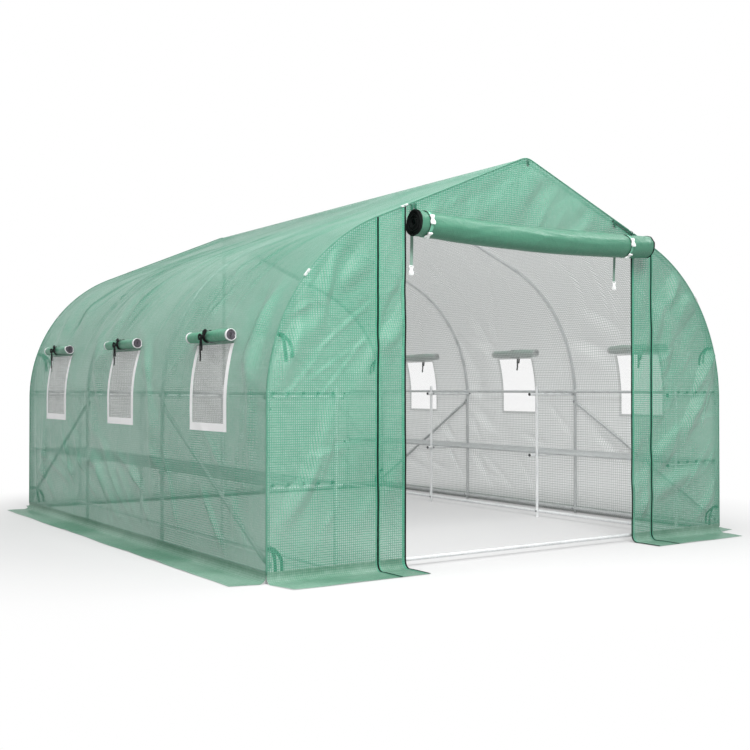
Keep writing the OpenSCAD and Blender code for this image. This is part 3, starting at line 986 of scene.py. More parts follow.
@dataclass(frozen=True)
class MouldedFinish:
    """Moulded plastic with handling marks."""

    name: str
    colour: Colour
    roughness: float = 0.34
    wear: float = 0.35
    mark_height: float = 0.00008

    @cached_property
    def material(self) -> Material:
        """Blender material of the plastic."""
        made, graph, shader = new_material(self.name)
        wear = graph.group(EFFECTS.surface_wear, Vector=graph.place, Amount=self.wear, Scale=40.0)
        mask = wear.outputs["Mask"]
        graph.fill(shader, {"Base Color": graph.blend(mask, self.colour, toned(self.colour, 0.82, 0.02)),
                            "Roughness": graph.math("MULTIPLY_ADD", mask, 0.35, self.roughness)})
        add_bump(graph, shader, graph.math("MULTIPLY", wear.outputs["Height"], self.mark_height))
        return made


@dataclass(frozen=True)
class TubeFinish:
    """Galvanised steel with faint spangle and dull patches."""

    name: str = "galvanised_tube"
    bright: Colour = (0.930, 0.940, 0.942)
    dull: Colour = (0.760, 0.780, 0.790)
    metallic: float = 0.30
    flakes: float = 130.0
    mark_height: float = 0.00006

    @cached_property
    def material(self) -> Material:
        """Blender material of the steel."""
        made, graph, shader = new_material(self.name)
        wear = graph.group(EFFECTS.surface_wear, Vector=graph.place, Amount=0.8, Scale=9.0)
        flake = graph.node("ShaderNodeTexVoronoi", {"Vector": graph.place, "Scale": self.flakes})
        tone = graph.node("ShaderNodeSeparateColor", {0: flake.outputs["Color"]})
        spangle = graph.math("MULTIPLY", tone.outputs[0], 0.5)
        share = graph.math("MULTIPLY_ADD", wear.outputs["Mask"], 0.6, spangle, clamp=True)
        graph.fill(shader, {"Base Color": graph.blend(share, self.bright, self.dull),
                            "Roughness": graph.math("MULTIPLY_ADD", share, 0.25, 0.30),
                            "Metallic": self.metallic})
        add_bump(graph, shader, graph.math("MULTIPLY", wear.outputs["Height"], self.mark_height))
        return made


WALL_SHEET = SheetFinish("wall_sheet", pitch=0.0112)
FRONT_SHEET = SheetFinish("front_sheet", outside=(0.070, 0.314, 0.199), thread=(0.024, 0.160, 0.098),
                          dust_amount=0.14)
SKIRT_SHEET = SheetFinish("skirt_sheet", outside=(0.122, 0.232, 0.166), opacity=1.0, dust_amount=0.3,
                          hem=0.011)
SEWN_SHEET = SheetFinish("sewn_sheet", opacity=0.88)
DOOR_SHEET = RollFinish("door_sheet")
# painted shade: the flap's inner face is a dark grey-purple that stands for the shade between the turns of
# the roll
FLAP_SHEET = RollFinish("flap_sheet", outside=(0.050, 0.235, 0.140), inside=(0.075, 0.068, 0.080))
SEAM_SHEET = RollFinish("seam_sheet", outside=(0.075, 0.225, 0.155), inside=(0.075, 0.225, 0.155))
SCREEN_MESH = ScreenFinish()
BORDER_TAPE = TapeFinish("border_tape", (0.90, 0.90, 0.905), (0.74, 0.74, 0.75), row=0.014, back_opacity=0.06)
EDGE_TAPE = TapeFinish("edge_tape", (0.80, 0.80, 0.81), (0.60, 0.60, 0.62), row=0.004)
ZIP_TAPE = TapeFinish("zip_tape", (0.002, 0.004, 0.0035), (0.008, 0.011, 0.010), row=0.0037, roughness=0.85)
STRAP_WEBBING = TapeFinish("strap_webbing", (0.20, 0.31, 0.255), (0.14, 0.23, 0.19), row=0.0075)
# painted shade: the white edge tape of the inner turns is given a dark grey-purple that stands for the shade
# inside the roll
INNER_TURN_SHADE_TAPE = TapeFinish("inner_turn_shade_tape", (0.130, 0.115, 0.135), (0.11, 0.10, 0.115), row=0.004, roughness=0.8)
BAND_WEBBING = TapeFinish("band_webbing", (0.17, 0.44, 0.31), (0.08, 0.26, 0.17), row=0.0075)
TIE_RIBBON = TapeFinish("tie_ribbon", (0.003, 0.004, 0.004), (0.010, 0.011, 0.011), row=0.0035, roughness=0.8)
CORNER_RIBBON = TapeFinish("corner_ribbon", (0.030, 0.115, 0.075), (0.045, 0.150, 0.102), row=0.008)
ZIP_CHAIN = MouldedFinish("zip_chain", (0.003, 0.005, 0.004), roughness=0.6)
PIPING = MouldedFinish("piping", (0.008, 0.014, 0.011), roughness=0.4)
BUCKLE_PLASTIC = MouldedFinish("buckle", (0.86, 0.87, 0.865))
CLAMP_PLASTIC = MouldedFinish("clamp", (0.60, 0.63, 0.615))
CAP_PLASTIC = MouldedFinish("end_cap", (0.030, 0.033, 0.034), roughness=0.45)
BOLT_STEEL = TubeFinish("bolt_steel", bright=(0.42, 0.43, 0.44), dull=(0.30, 0.31, 0.32), metallic=0.7)
RACK_STEEL = TubeFinish()
SLAT_STEEL = TubeFinish("slat_tube", bright=(0.640, 0.660, 0.660), dull=(0.500, 0.520, 0.522))
HOOP_STEEL = TubeFinish("weathered_tube", bright=(0.680, 0.700, 0.700), dull=(0.520, 0.540, 0.542))


def zip_places(inset: float = 0.005) -> Span:
    """Distances of the inner and the outer zips of the front from the middle."""
    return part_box("front_right")[0].x + inset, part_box("front_zips")[1].x - inset


@dataclass
class Windows:
    """Places and sizes of the side windows, three on each side."""

    form: TunnelForm
    section: Section
    border: float = 0.038
    step: float = 0.016
    hold_reach: float = 0.33
    hold_share: float = 0.97

    @cached_property
    def half_width(self) -> float:
        """Half the width of a window opening."""
        return self.form.bay_ys[0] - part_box("borders_left")[0].y - self.border

    @cached_property
    def sill(self) -> float:
        """Distance along the sheet to a window opening's lower edge."""
        return self.section.at_height(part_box("borders_left")[0].z + self.border)

    @cached_property
    def head(self) -> float:
        """Distance along the sheet to a window opening's upper edge."""
        return self.section.at_height(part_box("borders_left")[1].z)

    def calm(self, s: Array, y: Array) -> Array:
        """Find where the sheet is held flat by the windows.

        Args:
            s: distances along the sheet from the nearer foot.
            y: places along the tunnel.

        Returns:
            Shares from 0 at a window to 1 well away from it.
        """
        middle = (self.sill + self.head) / 2 + self.border
        held = np.zeros(np.broadcast(s, y).shape)
        for bay in self.form.bay_ys:
            held = held + np.exp(-((s - middle) / self.hold_reach) ** 6 - ((y - bay) / self.hold_reach) ** 6)
        return 1.0 - self.hold_share * np.clip(held, 0, 1)


@dataclass
class Cover:
    """Sheet over the hoops, in one piece from the left foot over the ridge to the right foot."""

    form: TunnelForm
    section: Section
    windows: Windows
    step: float = 0.0180
    step_along: float = 0.0118
    roof_sag: float = 0.010
    fold_height: float = 0.0150
    floor_blend: float = 0.0015
    ripple_length: float = 0.55
    ripple_height: float = 0.0018
    foot_hold: float = 0.16
    ridge_hold: float = 0.10
    end_hold: float = 0.22
    slack: float = 0.0022
    bay_slack: float = 0.020
    seed: int = 41

    @cached_property
    def folds(self) -> dict[Side, FoldField]:
        """Folds of both halves of the sheet."""
        rng = np.random.default_rng(self.seed)
        wall, shoulder, rafter = self.section.marks[1:4]
        high, front, rear = self.fold_height, self.form.hoop_ys[0], self.form.hoop_ys[-1]
        made = {}
        for side in Side:
            folds = FoldField()
            # a comb of narrow folds climbs the shoulders and leans to the front
            box = (wall + 0.35, shoulder + 0.25, front + 0.2, rear - 0.5)
            folds.scatter(rng, 44, box, (-0.44, 0.12), 0.30, 0.016, 0.55 * high)
            # broad swells lie on the roof
            box = (shoulder, rafter - 0.2, front + 0.1, rear - 0.1)
            folds.scatter(rng, 14, box, (-0.75, 0.2), 0.34, 0.034, 0.42 * high)
            # slanting folds below the windows come down towards the front
            box = (0.14, wall - 0.14, front + 0.1, rear - 0.1)
            folds.scatter(rng, 22, box, (0.95, 0.2), 0.22, 0.028, high)
            # broad swells lie round the windows
            box = (0.30, wall + 0.55, front + 0.1, rear - 0.1)
            folds.scatter(rng, 18, box, (0.55, 0.4), 0.26, 0.060, 1.6 * high)
            # upright folds stand beside the end hoops
            for end, inward in ((front, 1), (rear, -1)):
                reach = sorted((end + 0.03 * inward, end + 0.34 * inward))
                folds.scatter(rng, 7, (0.15, wall + 0.4, *reach), (0.0, 0.06), 0.34, 0.020, 0.28 * high)
            made[side] = folds
        return made

    def lift(self, s: Array, y: Array) -> Array:
        """Measure how far the sheet stands off its plain form.

        Args:
            s: distances along the sheet from the left foot.
            y: places along the tunnel.

        Returns:
            Distances outward.
        """
        section, form = self.section, self.form
        s, y = np.broadcast_arrays(s, y)
        near = np.minimum(s, section.total - s)
        bay = form.hoop_ys[1] - form.hoop_ys[0]
        phase = np.clip((y - form.hoop_ys[0]) / bay, 0, form.hoop_count - 1) % 1.0
        span = 4 * phase * (1 - phase)
        wall, _, rafter = section.marks[1:4]
        roof = ramp(near, 0.6 * wall, wall + 0.5) * (1 - ramp(near, rafter - 0.45, rafter))
        calm = self.windows.calm(near, y)
        sides = [self.folds[side].lift(near, y) for side in Side]
        folds = np.where(s < section.half, *sides)
        edge = ramp(near, 0.0, self.foot_hold) * (1 - ramp(near, rafter - self.ridge_hold, rafter + 0.02))
        edge = edge * ramp(form.half_length - np.abs(y), 0.0, self.end_hold)
        ripple = Ripple(self.seed + 1, self.ripple_length).lift(s, y) * self.ripple_height
        loose = (folds + ripple) * (0.35 + 0.65 * np.sqrt(span)) * calm * edge
        total = loose - self.roof_sag * span * roof * calm
        limit = -self.slack - self.bay_slack * span * ramp(near, wall + 0.05, wall + 0.3)
        return soft_floor(total, limit, self.floor_blend)

    def surface(self, s: Array, y: Array, stand: float = 0.0) -> Array:
        """Find points of the sheet.

        Args:
            s: distances along the sheet from the left foot.
            y: places along the tunnel.
            stand: distance outside the sheet.

        Returns:
            Points, with X, Y and Z on the last axis.
        """
        s, y = np.broadcast_arrays(s, y)
        point, normal = self.section.place(s)
        flat = point + normal * (self.lift(s, y) + stand)[..., None]
        return joined(flat[..., 0], y, flat[..., 1])

    def build(self) -> None:
        """Make the sheet with its window openings."""
        form, section, windows = self.form, self.section, self.windows
        low = [0.0, windows.sill, section.marks[1], windows.head, *section.marks[2:4], section.half]
        along = section.spread(low, self.step)
        edges = [bay + sign * windows.half_width for bay in form.bay_ys for sign in (-1, 1)]
        ends = [-form.half_length, form.half_length]
        across = stations(sorted([*ends, *edges, *form.hoop_ys]), self.step_along)
        s, y = np.meshgrid(along, across, indexing="ij")
        mid_s, mid_y = middles(along), middles(across)
        near = np.minimum(mid_s, section.total - mid_s)
        tall = (near > windows.sill) & (near < windows.head)
        wide = np.any(np.abs(mid_y[:, None] - form.bay_ys) < windows.half_width, axis=1)
        faces = grid_faces(*s.shape, keep=~(tall[:, None] & wide))
        stack = MeshStack().add(self.surface(s, y), faces, joined(s, y))
        piece = stack.piece("cover_sheet", WALL_SHEET, Slot.WALL, "cover_left", "cover_right")
        holes = 2 * len(form.bay_ys) * 2 * windows.half_width * (windows.head - windows.sill)


@dataclass
class EndPanel:
    """Flat sheet in an end wall, between two places across and above a height."""

    name: str
    node: str
    section: Section
    facing: Facing
    low: float
    high: float
    foot: float
    seed: int
    fold_height: float = 0.0240
    step: float = 0.0115
    post_x: float = 1.14
    floor_blend: float = 0.0012
    ripple_length: float = 0.6
    ripple_height: float = 0.0022
    edge_hold: float = 0.10
    foot_hold: float = 0.20
    zip_hold: float = 0.88
    zip_reach: float = 0.04
    post_gap: float = 0.03
    slack: float = 0.0018
    free_slack: float = 0.009

    @cached_property
    def stiff_places(self) -> list[float]:
        """Distances from the middle at which zips or a seam hold the panel flat."""
        return [0.0] if self.facing is Facing.REAR else list(zip_places())

    @cached_property
    def folds(self) -> FoldField:
        """Soft slanting wrinkles, low on the left and high on the right seen from outside."""
        rng = np.random.default_rng(self.seed)
        folds = FoldField()
        width, lean = self.high - self.low, 0.92 * -self.facing.value
        top = float(self.section.top(np.array([(self.low + self.high) / 2]))[0])
        box = (self.low, self.high, self.foot + 0.1, top)
        folds.scatter(rng, round(19 * width), box, (lean, 0.24), 0.27, 0.040, self.fold_height)
        folds.scatter(rng, round(24 * width), box, (lean, 0.35), 0.20, 0.013, 0.26 * self.fold_height)
        folds.scatter(rng, round(7 * width), box, (1.45, 0.12), 0.26, 0.030, 0.5 * self.fold_height)
        return folds

    def lift(self, x: Array, z: Array) -> Array:
        """Measure how far the panel stands out of its plane.

        Args:
            x: places across the wall.
            z: heights.

        Returns:
            Distances outward.
        """
        room = np.minimum(self.section.top(x) - z, self.section.form.half_width - np.abs(x))
        held = ramp(room, 0.0, self.edge_hold) * ramp(z, self.section.form.wall_foot, self.foot_hold)
        for place in self.stiff_places:
            held = held * (1 - self.zip_hold * np.exp(-((np.abs(x) - place) / self.zip_reach) ** 2))
        wave = Ripple(self.seed + 7, self.ripple_length).lift(x, z) * self.ripple_height
        free = ramp(room, 0.03, 0.12) * (1 - np.exp(-((np.abs(x) - self.post_x) / self.post_gap) ** 2))
        clear = np.maximum(ramp(self.post_x - np.abs(x), 0.08, 0.13), ramp(z, 0.90, 0.97))
        limit = -self.slack - self.free_slack * free * clear * ramp(z, 0.10, 0.16)
        return soft_floor((self.folds.lift(x, z) + wave) * held, limit, self.floor_blend)

    def surface(self, x: Array, z: Array, stand: float = 0.0) -> Array:
        """Find points of the panel.

        Args:
            x: places across the wall.
            z: heights.
            stand: distance outside the panel.

        Returns:
            Points, with X, Y and Z on the last axis.
        """
        x, z = np.broadcast_arrays(x, z)
        y = self.facing.value * (self.section.form.half_length + self.lift(x, z) + stand)
        return joined(x, y, z)

    def build(self) -> None:
        """Make the panel."""
        columns = self.section.column_places(self.low, self.high, self.step)
        top = self.section.top(columns)
        rows = math.ceil((float(top.max()) - self.foot) / self.step) + 1
        share = np.linspace(0.0, 1.0, rows)
        z = self.foot + (top - self.foot)[:, None] * share
        x = np.broadcast_to(columns[:, None], z.shape)
        points, uv = self.surface(x, z), joined(x, z)
        if self.facing is Facing.REAR:
            points, uv = points[::-1], uv[::-1]
        stack = MeshStack().add(points, grid_faces(*z.shape), uv)
        piece = stack.piece(self.name, FRONT_SHEET, Slot.FRONT, self.node)


@dataclass
class Skirt:
    """Sheet that turns out from the foot of a wall and lies on the ground."""

    name: str
    node: str
    start: Span
    end: Span
    outward: Span
    reach: float
    cuts: Span
    seed: int
    cove: float = 0.035
    lap: Span = (0.0008, 0.014)
    ground: float = 0.0015
    step: float = 0.02
    wave_length: float = 0.34
    wave_height: float = 0.0045
    swell: float = 0.0012
    edge_wander: float = 0.004
    wander_length: float = 0.5

    def section(self) -> tuple[Array, Array, Array]:
        """Draw the skirt's section.

        Returns:
            Distances out from the wall, heights and distances along the sheet.
        """
        turn = np.linspace(0, math.pi / 2, 9)
        run = stations([self.cove, self.reach], self.step)[1:]
        out = np.concatenate([[0.0], self.cove * (1 - np.cos(turn)), run]) + self.lap[0]
        bend = self.ground + self.cove * (1 - np.sin(turn))
        up = np.concatenate([[bend[0] + self.lap[1]], bend, np.full(len(run), self.ground)])
        along = np.concatenate([[0.0], np.cumsum(np.hypot(np.diff(out), np.diff(up)))])
        return out, up, along

    def lift(self, a: Array, o: Array) -> Array:
        """Measure how far the skirt stands off the ground.

        Args:
            a: places along the wall.
            o: distances out from the wall.

        Returns:
            Heights above the flat skirt.
        """
        free = ramp(o, self.cove, self.reach)
        wave = np.clip(Ripple(self.seed, self.wave_length).lift(a, o * 0.6), 0, None)
        return self.wave_height * free * wave + self.swell * ramp(o, self.cove, self.cove * 2)

    def build(self) -> None:
        """Make the skirt."""
        start, end, outward = np.array(self.start), np.array(self.end), np.array(self.outward)
        length = float(np.linalg.norm(end - start))
        out, up, along = self.section()
        share = stations([0.0, 1.0], self.step / length)
        taper = np.clip((out - self.cove) / (self.reach - self.cove), 0, 1)
        low, high = self.cuts[0] * taper, length - self.cuts[1] * taper
        a = low[None, :] + (high - low)[None, :] * share[:, None]
        o = np.broadcast_to(out, a.shape)
        wander = self.edge_wander * Ripple(self.seed + 3, self.wander_length).lift(a, o) * taper
        aside = (o + wander - self.edge_wander * taper)[..., None] * outward
        flat = start + a[..., None] * (end - start) / length + aside
        points = np.concatenate([flat, (up + self.lift(a, o))[..., None]], axis=-1)
        uv = joined(a, np.broadcast_to(along[-1] - along, a.shape))
        if (end - start)[0] * outward[1] < (end - start)[1] * outward[0]:
            points, uv = points[::-1], uv[::-1]
        stack = MeshStack().add(points, grid_faces(*a.shape), uv)
        piece = stack.piece(self.name, SKIRT_SHEET, Slot.SKIRT, self.node)


@dataclass
class Roll:
    """Sheet rolled up into a loose spiral round an axis."""

    middle: Array
    axis: Array
    contact: Array
    rise: Array
    length: float
    radius: float
    turns: float
    pitch: float
    seed: int
    pinches: tuple[float, ...] = ()
    dent: float = 0.030
    sag: float = 0.0
    crease_count: int = 0
    crease: Span = (0.013, 0.0042)
    pinch_reach: float = 0.03
    end_shift: float = 0.0025
    around: int = 44
    step: float = 0.016

    @cached_property
    def creases(self) -> FoldField:
        """Long soft creases along the roll."""
        folds, rng = FoldField(), np.random.default_rng(self.seed + 50)
        reach = 0.42 * self.length
        box = (-reach, reach, 0.0, FULL_TURN * self.radius)
        folds.scatter(rng, self.crease_count, box, (0.0, 0.10), 0.15 * self.length, *self.crease)
        return folds

    def radius_at(self, x: Array, turned: Array) -> Array:
        """Find the roll's radius.

        Args:
            x: places along the axis from the middle.
            turned: angles wound from the free edge, in radians.

        Returns:
            Radii.
        """
        base = self.radius - self.pitch * turned / FULL_TURN
        rng = np.random.default_rng(self.seed)
        wobble = np.zeros(np.broadcast(x, turned).shape)
        for lobes in (1, 2, 2, 3):
            wave, start, twist = rng.uniform(4.0, 11.0), rng.uniform(0, FULL_TURN), rng.uniform(0, FULL_TURN)
            wobble = wobble + np.sin(wave * x + start) * np.cos(lobes * turned + twist)
        squeeze = sum(np.exp(-((x - place) / self.pinch_reach) ** 2) for place in self.pinches)
        held = 1.0 - 0.8 * np.clip(squeeze, 0, 1)
        crease = self.creases.lift(x, (turned % FULL_TURN) * self.radius) * held
        return base * (1.0 - self.dent * (0.5 + 0.25 * wobble * held) - 0.04 * squeeze) + crease

    def surface(self, x: Array, turned: Array, stand: float = 0.0) -> Array:
        """Find points of the rolled sheet.

        Args:
            x: places along the axis from the middle.
            turned: angles wound from the free edge, in radians.
            stand: distance outside the sheet.

        Returns:
            Points, with X, Y and Z on the last axis.
        """
        x, turned = np.broadcast_arrays(x, turned)
        radius = self.radius_at(x, turned) + stand
        shift = self.end_shift * np.sin(turned * 0.61 + self.seed)
        points = self.middle + (x + shift)[..., None] * self.axis + radius[..., None] * self.outward(turned)
        points[..., 2] -= self.sag * (1 - (2 * x / self.length) ** 2)
        return points

    def outward(self, turned: Array) -> Array:
        """Direction from the axis at angles wound from the free edge."""
        return np.cos(turned)[..., None] * self.contact - np.sin(turned)[..., None] * self.rise

    def ends(self, width: float, lip: float = 0.001) -> list[Span]:
        """Stretches along the axis that a tape covers at both ends."""
        half = self.length / 2
        return [(-half - lip, width - half), (half - width, half + lip)]

    @property
    def wound(self) -> float:
        """Length of sheet in the spiral."""
        return FULL_TURN * self.turns * (self.radius - self.pitch * self.turns / 2)

    def grid(self, x: Array, turned: Array, stand: float, uv: Array) -> Patch:
        """Make a part of the spiral with its faces turned outward.

        Args:
            x: places along the axis.
            turned: angles wound from the free edge.
            stand: distance outside the sheet.
            uv: cloth coordinates.

        Returns:
            Points, faces and cloth coordinates.
        """
        points = self.surface(x[:, None], turned[None, :], stand)
        faces = grid_faces(len(x), len(turned))
        handed = float(np.dot(np.cross(self.axis, -self.rise), self.contact))
        return points, faces if handed > 0 else flipped(faces), uv

    def layers(self, low: float, high: float, stand: float, step: float, first: float = 0.0,
               last: float | None = None) -> Patch:
        """Make a stretch of the spiral.

        Args:
            low: first place along the axis.
            high: last place along the axis.
            stand: distance outside the sheet.
            step: distance between points along the axis.
            first: turn where it starts, from the free edge.
            last: turn where it ends, or the innermost one.

        Returns:
            Points, faces and cloth coordinates.
        """
        last = self.turns if last is None else last
        x = stations([low, high], step)
        turned = np.linspace(FULL_TURN * first, FULL_TURN * last, int(self.around * (last - first)) + 1)
        uv = joined(x[:, None], (turned * self.radius)[None, :])
        return self.grid(x, turned, stand, uv)

    def band(self, place: float, width: float, stand: float, low: float, high: float
             ) -> Patch:
        """Make a strap round the roll.

        Args:
            place: place along the axis.
            width: width of the strap.
            stand: distance outside the sheet.
            low: angle where the strap starts.
            high: angle where the strap ends.

        Returns:
            Points, faces and cloth coordinates.
        """
        turned = np.linspace(low, high, self.around + 1)
        x = place + np.linspace(-width / 2, width / 2, 5)
        uv = joined((turned * self.radius)[None, :], (x - place)[:, None])
        return self.grid(x, turned, stand, uv)


@dataclass(frozen=True)
class Buckle:
    """Side-release buckle: a waisted body with a webbing slot, two side openings and a raised tongue."""

    length: float = 0.046
    width: float = 0.027
    depth: float = 0.007

    @cached_property
    def parts(self) -> list[Solid]:
        """Body, tongue and grip ribs round the buckle's middle: X across, Y along, Z out."""
        tall, wide = self.length, self.width
        y = tall * np.array([0.50, 0.46, 0.32, 0.20, 0.08, 0.00, -0.10, -0.22, -0.44, -0.50])
        half = wide * np.array([0.36, 0.46, 0.45, 0.32, 0.26, 0.28, 0.42, 0.50, 0.50, 0.40])
        edge = joined(half, y)
        body = [np.concatenate([edge, (edge * (-1, 1))[::-1]]),
                block_outline(0.0, 0.36 * tall, 0.30 * wide, 0.045 * tall)]
        body += [block_outline(side * 0.33 * wide, -0.28 * tall, 0.055 * wide, 0.10 * tall)
                 for side in (-1, 1)]
        raised = [block_outline(0.0, -0.22 * tall, 0.15 * wide, 0.17 * tall)]
        ribs = [[block_outline(0.0, place * tall, 0.34 * wide, 0.0006)] for place in (-0.44, -0.47)]
        return [plate(body, self.depth, 0.0012), plate(raised, 0.003, 0.0008, self.depth / 2),
                *[plate(rib, 0.0014, 0.0002, self.depth / 2) for rib in ribs]]


@dataclass
class Door:
    """Rolled-up door with its edge zips, its straps and their buckles."""

    turns: float = 7.25
    pitch: float = 0.0068
    sag: float = 0.024
    edge_width: float = 0.007
    strap_width: float = 0.020
    piping: float = 0.0015
    buckle_angles: Span = (math.radians(192), math.radians(118))
    buckle: Buckle = Buckle()
    hang_shifts: Span = (-0.024, 0.0)
    band_reach: Span = (math.radians(30), math.radians(330))
    band_stand: float = 0.0030
    band_depth: float = 0.0014
    piping_reach: Span = (math.radians(112), math.radians(300))
    piping_stand: float = 0.0036
    buckle_stand: float = 0.0040
    hang_gap: float = 0.0045
    hang_drop: float = 0.36
    edge_stand: float = 0.0012
    edge_depth: float = 0.0030

    @property
    def hang_places(self) -> list[float]:
        """Places of the two hanging straps across the tunnel."""
        return [place + shift for place, shift in zip(self.strap_places, self.hang_shifts)]

    @cached_property
    def strap_places(self) -> list[float]:
        """Places of the two straps across the tunnel."""
        low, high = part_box("door_straps")
        return [low.x + self.strap_width / 2, high.x - self.strap_width / 2]

    @cached_property
    def roll(self) -> Roll:
        """The rolled sheet."""
        low, high = (np.array(corner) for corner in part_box("door_roll"))
        middle = (low + high) / 2
        middle[2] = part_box("gable")[0].z
        radius = (high[1] - low[1]) / 2
        return Roll(middle=middle, axis=X_AXIS, contact=Y_AXIS,
                    rise=Z_AXIS, length=high[0] - low[0], radius=radius, turns=self.turns,
                    pitch=self.pitch, seed=5, sag=self.sag, crease_count=16,
                    pinches=tuple(place - middle[0] for place in self.strap_places))

    def straps(self) -> None:
        """Make the bands round the roll, their dark piping and all buckles."""
        roll, half = self.roll, self.strap_width / 2
        bands, pipes, buckles = MeshStack(), MeshStack(), MeshStack()
        thick = self.buckle.depth / 2
        first, last = self.band_reach
        for place in roll.pinches:
            bands.add(*roll.band(place, self.strap_width, self.band_stand, first, last))
            turned = np.linspace(*self.piping_reach, 40)
            pipes.add(*cord(roll.surface(np.array(place - half), turned, self.piping_stand), self.piping))
            for angle in self.buckle_angles:
                out = roll.outward(np.array(angle))
                up = np.cross(roll.axis, out)
                buckle_at = roll.surface(np.array(place), np.array(angle), self.buckle_stand + thick)
                buckles.fasten(self.buckle.parts, buckle_at, up * np.sign(up[2]), out)
        foot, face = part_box("door_straps")[0].z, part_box("gable")[1].y
        for place in self.hang_places:
            hung = np.array([place, face + self.hang_gap, foot - self.hang_drop * self.buckle.length])
            buckles.fasten(self.buckle.parts, hung, Z_AXIS, -Y_AXIS)
        webbing = bands.piece("roll_bands", BAND_WEBBING, Slot.STRAP, "door_straps", depth=self.band_depth)
        piping = pipes.piece("roll_band_piping", PIPING, Slot.ZIP)
        buckles.piece("strap_buckles", BUCKLE_PLASTIC, Slot.BUCKLE, "door_buckles", smooth=False)

    def build(self) -> None:
        """Make the door's pieces."""
        roll, half = self.roll, self.roll.length / 2
        stack = MeshStack().add(*roll.layers(-half, half, 0.0, roll.step))
        sheet = stack.piece("door_sheet", DOOR_SHEET, Slot.DOOR, "door_roll")
        edges = MeshStack()
        for low, high in roll.ends(self.edge_width):
            edges.add(*roll.layers(low, high, self.edge_stand, self.edge_width / 2))
        zips = edges.piece("door_edge_zips", ZIP_TAPE, Slot.ZIP, depth=self.edge_depth)
        self.straps()


@dataclass(frozen=True)
class Bow:
    """Ribbon tied in a bow: two loops and two tails round a knot."""

    width: float
    loops: tuple[tuple[Triple, ...], ...] = (
        ((0, 0, 0), (-0.010, 0.006, 0.020), (-0.030, 0.005, 0.030), (-0.052, 0.007, 0.026),
         (-0.036, 0.011, 0.008), (0, 0.003, 0)),
        ((0, 0, 0), (0.010, 0.007, 0.010), (0.024, 0.010, 0.007), (0.022, 0.011, -0.006),
         (0.009, 0.008, -0.008), (0, 0.002, 0)),
        ((0, 0.003, 0), (0.006, 0.009, -0.018), (0.009, 0.010, -0.050), (0.007, 0.009, -0.085),
         (0.011, 0.008, -0.116)),
        ((0, 0.003, 0), (-0.005, 0.009, -0.014), (-0.010, 0.010, -0.035), (-0.007, 0.008, -0.066)))

    def tie(self, stack: MeshStack, knot: Array, along: Array, out: Array) -> float:
        """Tie the bow.

        Args:
            stack: gathers the ribbon.
            knot: place of the knot.
            along: unit vector along what is tied.
            out: unit vector away from it.

        Returns:
            Length of ribbon in the bow.
        """
        length = 0.0
        for knots in self.loops:
            local = np.array(knots)
            path = knot + local[:, :1] * along + local[:, 1:2] * out + local[:, 2:] * Z_AXIS
            path = smooth_path(path, 24)
            across = unit(np.cross(unit(np.gradient(path, axis=0)), out) + 0.15 * out)
            stack.add(*strip(path, across, self.width))
            length += float(run_length(path)[-1])
        turn = np.linspace(0, FULL_TURN, 13)
        ring = 0.5 * self.width * (np.cos(turn)[:, None] * out + np.sin(turn)[:, None] * Z_AXIS)
        stack.add(*strip(knot + out * 0.4 * self.width + ring, along, self.width))
        return length + math.pi * self.width


